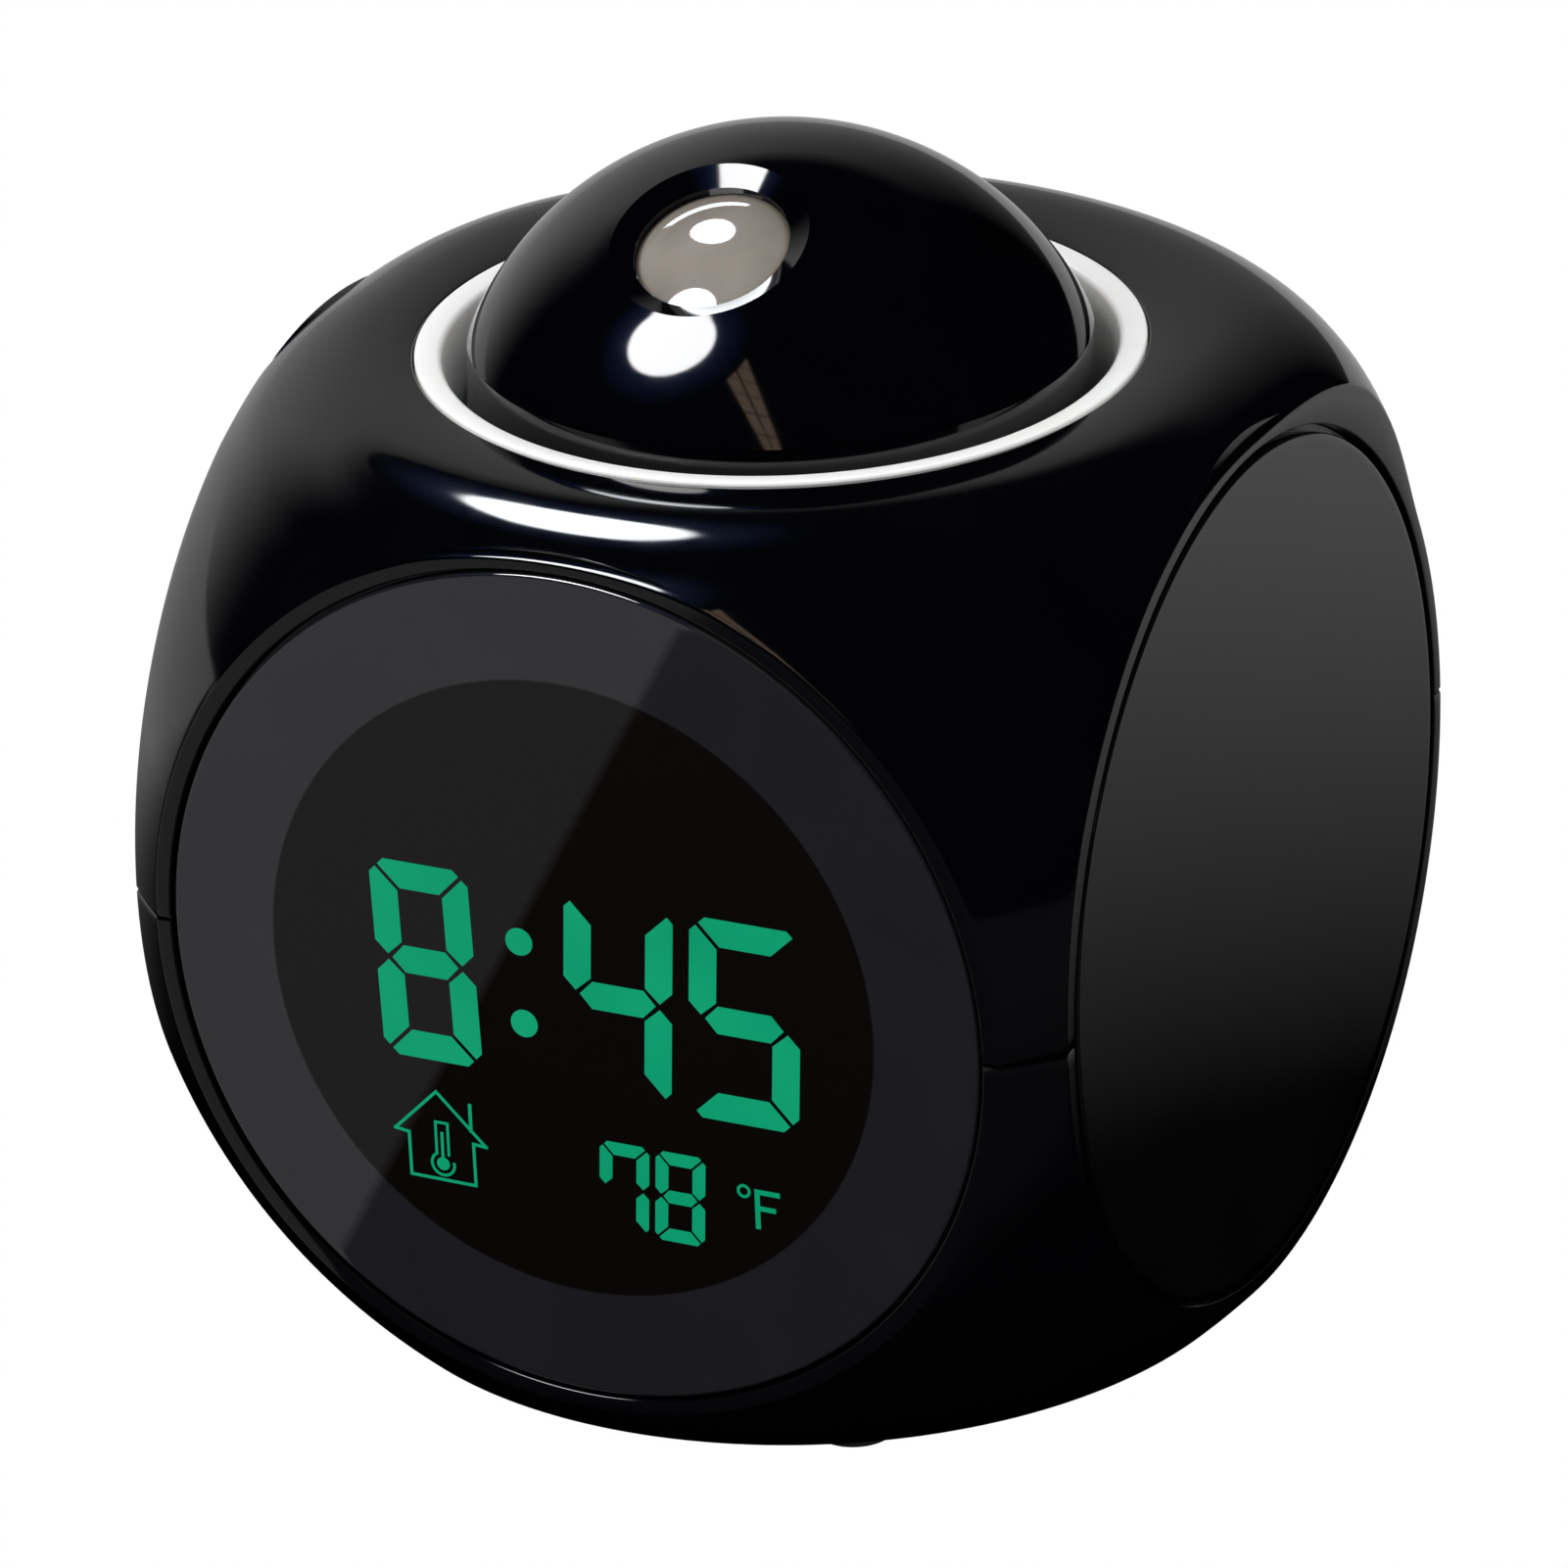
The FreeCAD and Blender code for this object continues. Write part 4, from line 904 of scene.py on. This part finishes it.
def window_form():
    """Two columns of panes that widen upwards, on an upright plane in front of the clock."""
    form = bmesh.new()
    rows = 6
    for row in range(rows):
        for side in (-1, 1):
            corners = []
            for u, v in ((0.08, 0.03), (0.95, 0.03), (0.95, 0.97), (0.08, 0.97)):
                up = (row + v) / rows
                width = 0.085 + 0.17 * up
                across = 0.315 - 0.345 * up + side * u * width / 2
                corners.append(form.verts.new((across, -0.7, 0.33 + 0.7 * up)))
            form.faces.new(corners)
    return form


head_middle = (0, 0, 0.0814)
light_box("light box over the head", (-0.36, -0.50, 0.79), head_middle, 0.58, 0.45, 40,
          ((0.245, 0.27, (1, 1, 1), 24), (0.2, 0.5, (0.15, 0.3, 1), 0.5)))
light_box("light box over the rim", (-0.42, 0.37, 0.82), (0, -0.045, 0.09), 0.34, 0.5, 0,
          ((0.21, 0.25, (0.93, 0.97, 1), 22), (0.2, 0.5, (0.2, 0.35, 1), 0.3)))
stage_glow("window", window_form(), Matrix.Translation(head_middle) @ Matrix.Scale(0.8, 4),
           ((2, 3, (1.0, 0.72, 0.5), 1.4),))


def floor_material():
    """White to the camera, clear from below, and dark near the clock to what reflects it."""
    material = bpy.data.materials.new("pale floor")
    material.use_nodes = True
    tree = material.node_tree
    tree.nodes.clear()
    link = tree.links.new
    path = node(tree, "LightPath")
    white = node(tree, "Emission")
    plain = node(tree, "BsdfDiffuse")
    plain.inputs["Color"].default_value = (0.6, 0.6, 0.6, 1)
    place_on = node(tree, "TexCoord")
    length = node(tree, "VectorMath", operation="LENGTH")
    link(place_on.outputs["Object"], length.inputs[0])
    axes = node(tree, "SeparateXYZ")
    link(place_on.outputs["Object"], axes.inputs[0])
    away = ranged(tree, length.outputs["Value"], 0.08, 0.26, 0.0, 0.5)
    behind = ranged(tree, axes.outputs["Y"], -0.02, 0.05, 0.06, 1.0, True)
    across = node(tree, "VectorMath", operation="DOT_PRODUCT")
    across.inputs[1].default_value = (1, -0.245, 0)
    link(place_on.outputs["Object"], across.inputs[0])
    sheen = ranged(tree, across.outputs["Value"], -0.0236, -0.0222, 0.28, 0.03)
    front = ranged(tree, axes.outputs["Y"], -0.06, -0.05, 1.0, 0.0)
    far = sum_or_product(tree, "MULTIPLY", away, behind)
    near = sum_or_product(tree, "MULTIPLY", sheen, front)
    mirror = node(tree, "Emission")
    link(sum_or_product(tree, "ADD", far, near), mirror.inputs["Strength"])
    bounce = shader_mix(tree, path.outputs["Is Glossy Ray"], plain.outputs[0], mirror.outputs[0])
    above = shader_mix(tree, path.outputs["Is Camera Ray"], bounce, white.outputs[0])
    clear = node(tree, "BsdfTransparent").outputs[0]
    seen = shader_mix(tree, node(tree, "NewGeometry").outputs["Backfacing"], above, clear)
    link(seen, node(tree, "OutputMaterial").inputs["Surface"])
    return material


floor_form = bmesh.new()
bmesh.ops.create_grid(floor_form, x_segments=1, y_segments=1, size=4)
floor = mesh_object("floor", floor_form)
floor.data.materials.append(floor_material())


def studio_world():
    """White to the camera, even to matt surfaces, and a low pale backdrop behind to glossy ones."""
    world = bpy.data.worlds.new("studio")
    bpy.context.scene.world = world
    world.use_nodes = True
    tree = world.node_tree
    tree.nodes.clear()
    link = tree.links.new
    path = node(tree, "LightPath")
    way = node(tree, "TexCoord")
    axes = node(tree, "SeparateXYZ")
    link(way.outputs["Generated"], axes.inputs[0])
    low = ranged(tree, axes.outputs["Z"], 0.48, 0.64, 1.0, 0.02, True)
    behind = ranged(tree, axes.outputs["Y"], 0.05, 0.55, 0.0, 1.0, True)
    left = ranged(tree, axes.outputs["X"], -0.8, 0.1, 0.48, 0.0)
    level = sum_or_product(tree, "MULTIPLY", sum_or_product(tree, "MULTIPLY", low, behind), left)
    mirror, even, white = (node(tree, "Background") for i in range(3))
    for background in (mirror, even, white):
        background.inputs["Color"].default_value = (1, 1, 1, 1)
    link(level, mirror.inputs["Strength"])
    even.inputs["Strength"].default_value = 0.6
    bounce = shader_mix(tree, path.outputs["Is Glossy Ray"], even.outputs[0], mirror.outputs[0])
    seen = shader_mix(tree, path.outputs["Is Camera Ray"], bounce, white.outputs[0])
    link(seen, node(tree, "OutputWorld").inputs["Surface"])


studio_world()


def soft_lamp(name, spot, aim_at, side, watts):
    """A square lamp that glossy surfaces don't show."""
    lamp = bpy.data.lights.new(name, "AREA")
    lamp.shape = "SQUARE"
    lamp.size = side
    lamp.energy = watts
    holder = bpy.data.objects.new(name, lamp)
    holder.location = spot
    holder.rotation_euler = (Vector(aim_at) - Vector(spot)).to_track_quat("-Z", "Y").to_euler()
    bpy.context.scene.collection.objects.link(holder)
    holder.visible_glossy = False


soft_lamp("soft lamp left", (-1.1, -0.9, 1.6), (0, 0, 0.06), 1.2, 26)
soft_lamp("soft lamp right", (1.3, -1.0, 1.2), (0, 0, 0.06), 1.4, 13)


def photo_camera():
    """The photograph's viewing angle."""
    # Angles in degrees, and distances in halves of the case's width, as fitted to outlines in the photo.
    turn, lift, roll = (math.radians(a) for a in (26.788, 24.531, -2.226))
    distance, aside, above = (share * half * MM for share in (22.712, -0.027, 0.008))
    side0 = Vector((math.cos(turn), math.sin(turn), 0))
    back = Vector((math.sin(turn) * math.cos(lift), -math.cos(turn) * math.cos(lift), math.sin(lift)))
    up0 = back.cross(side0)
    spot = Vector((0, 0, mid_z * MM)) + back * distance + side0 * aside + up0 * above
    side = side0 * math.cos(roll) + up0 * math.sin(roll)
    up = up0 * math.cos(roll) - side0 * math.sin(roll)
    data = bpy.data.cameras.new("photo camera")
    data.sensor_width = 36
    data.lens = 263.4
    data.clip_start = 0.05
    camera = bpy.data.objects.new("photo camera", data)
    camera.matrix_world = Matrix.Translation(spot) @ Matrix((side, up, back)).transposed().to_4x4()
    bpy.context.scene.collection.objects.link(camera)
    bpy.context.scene.camera = camera


photo_camera()
bpy.context.scene.view_settings.view_transform = "Standard"
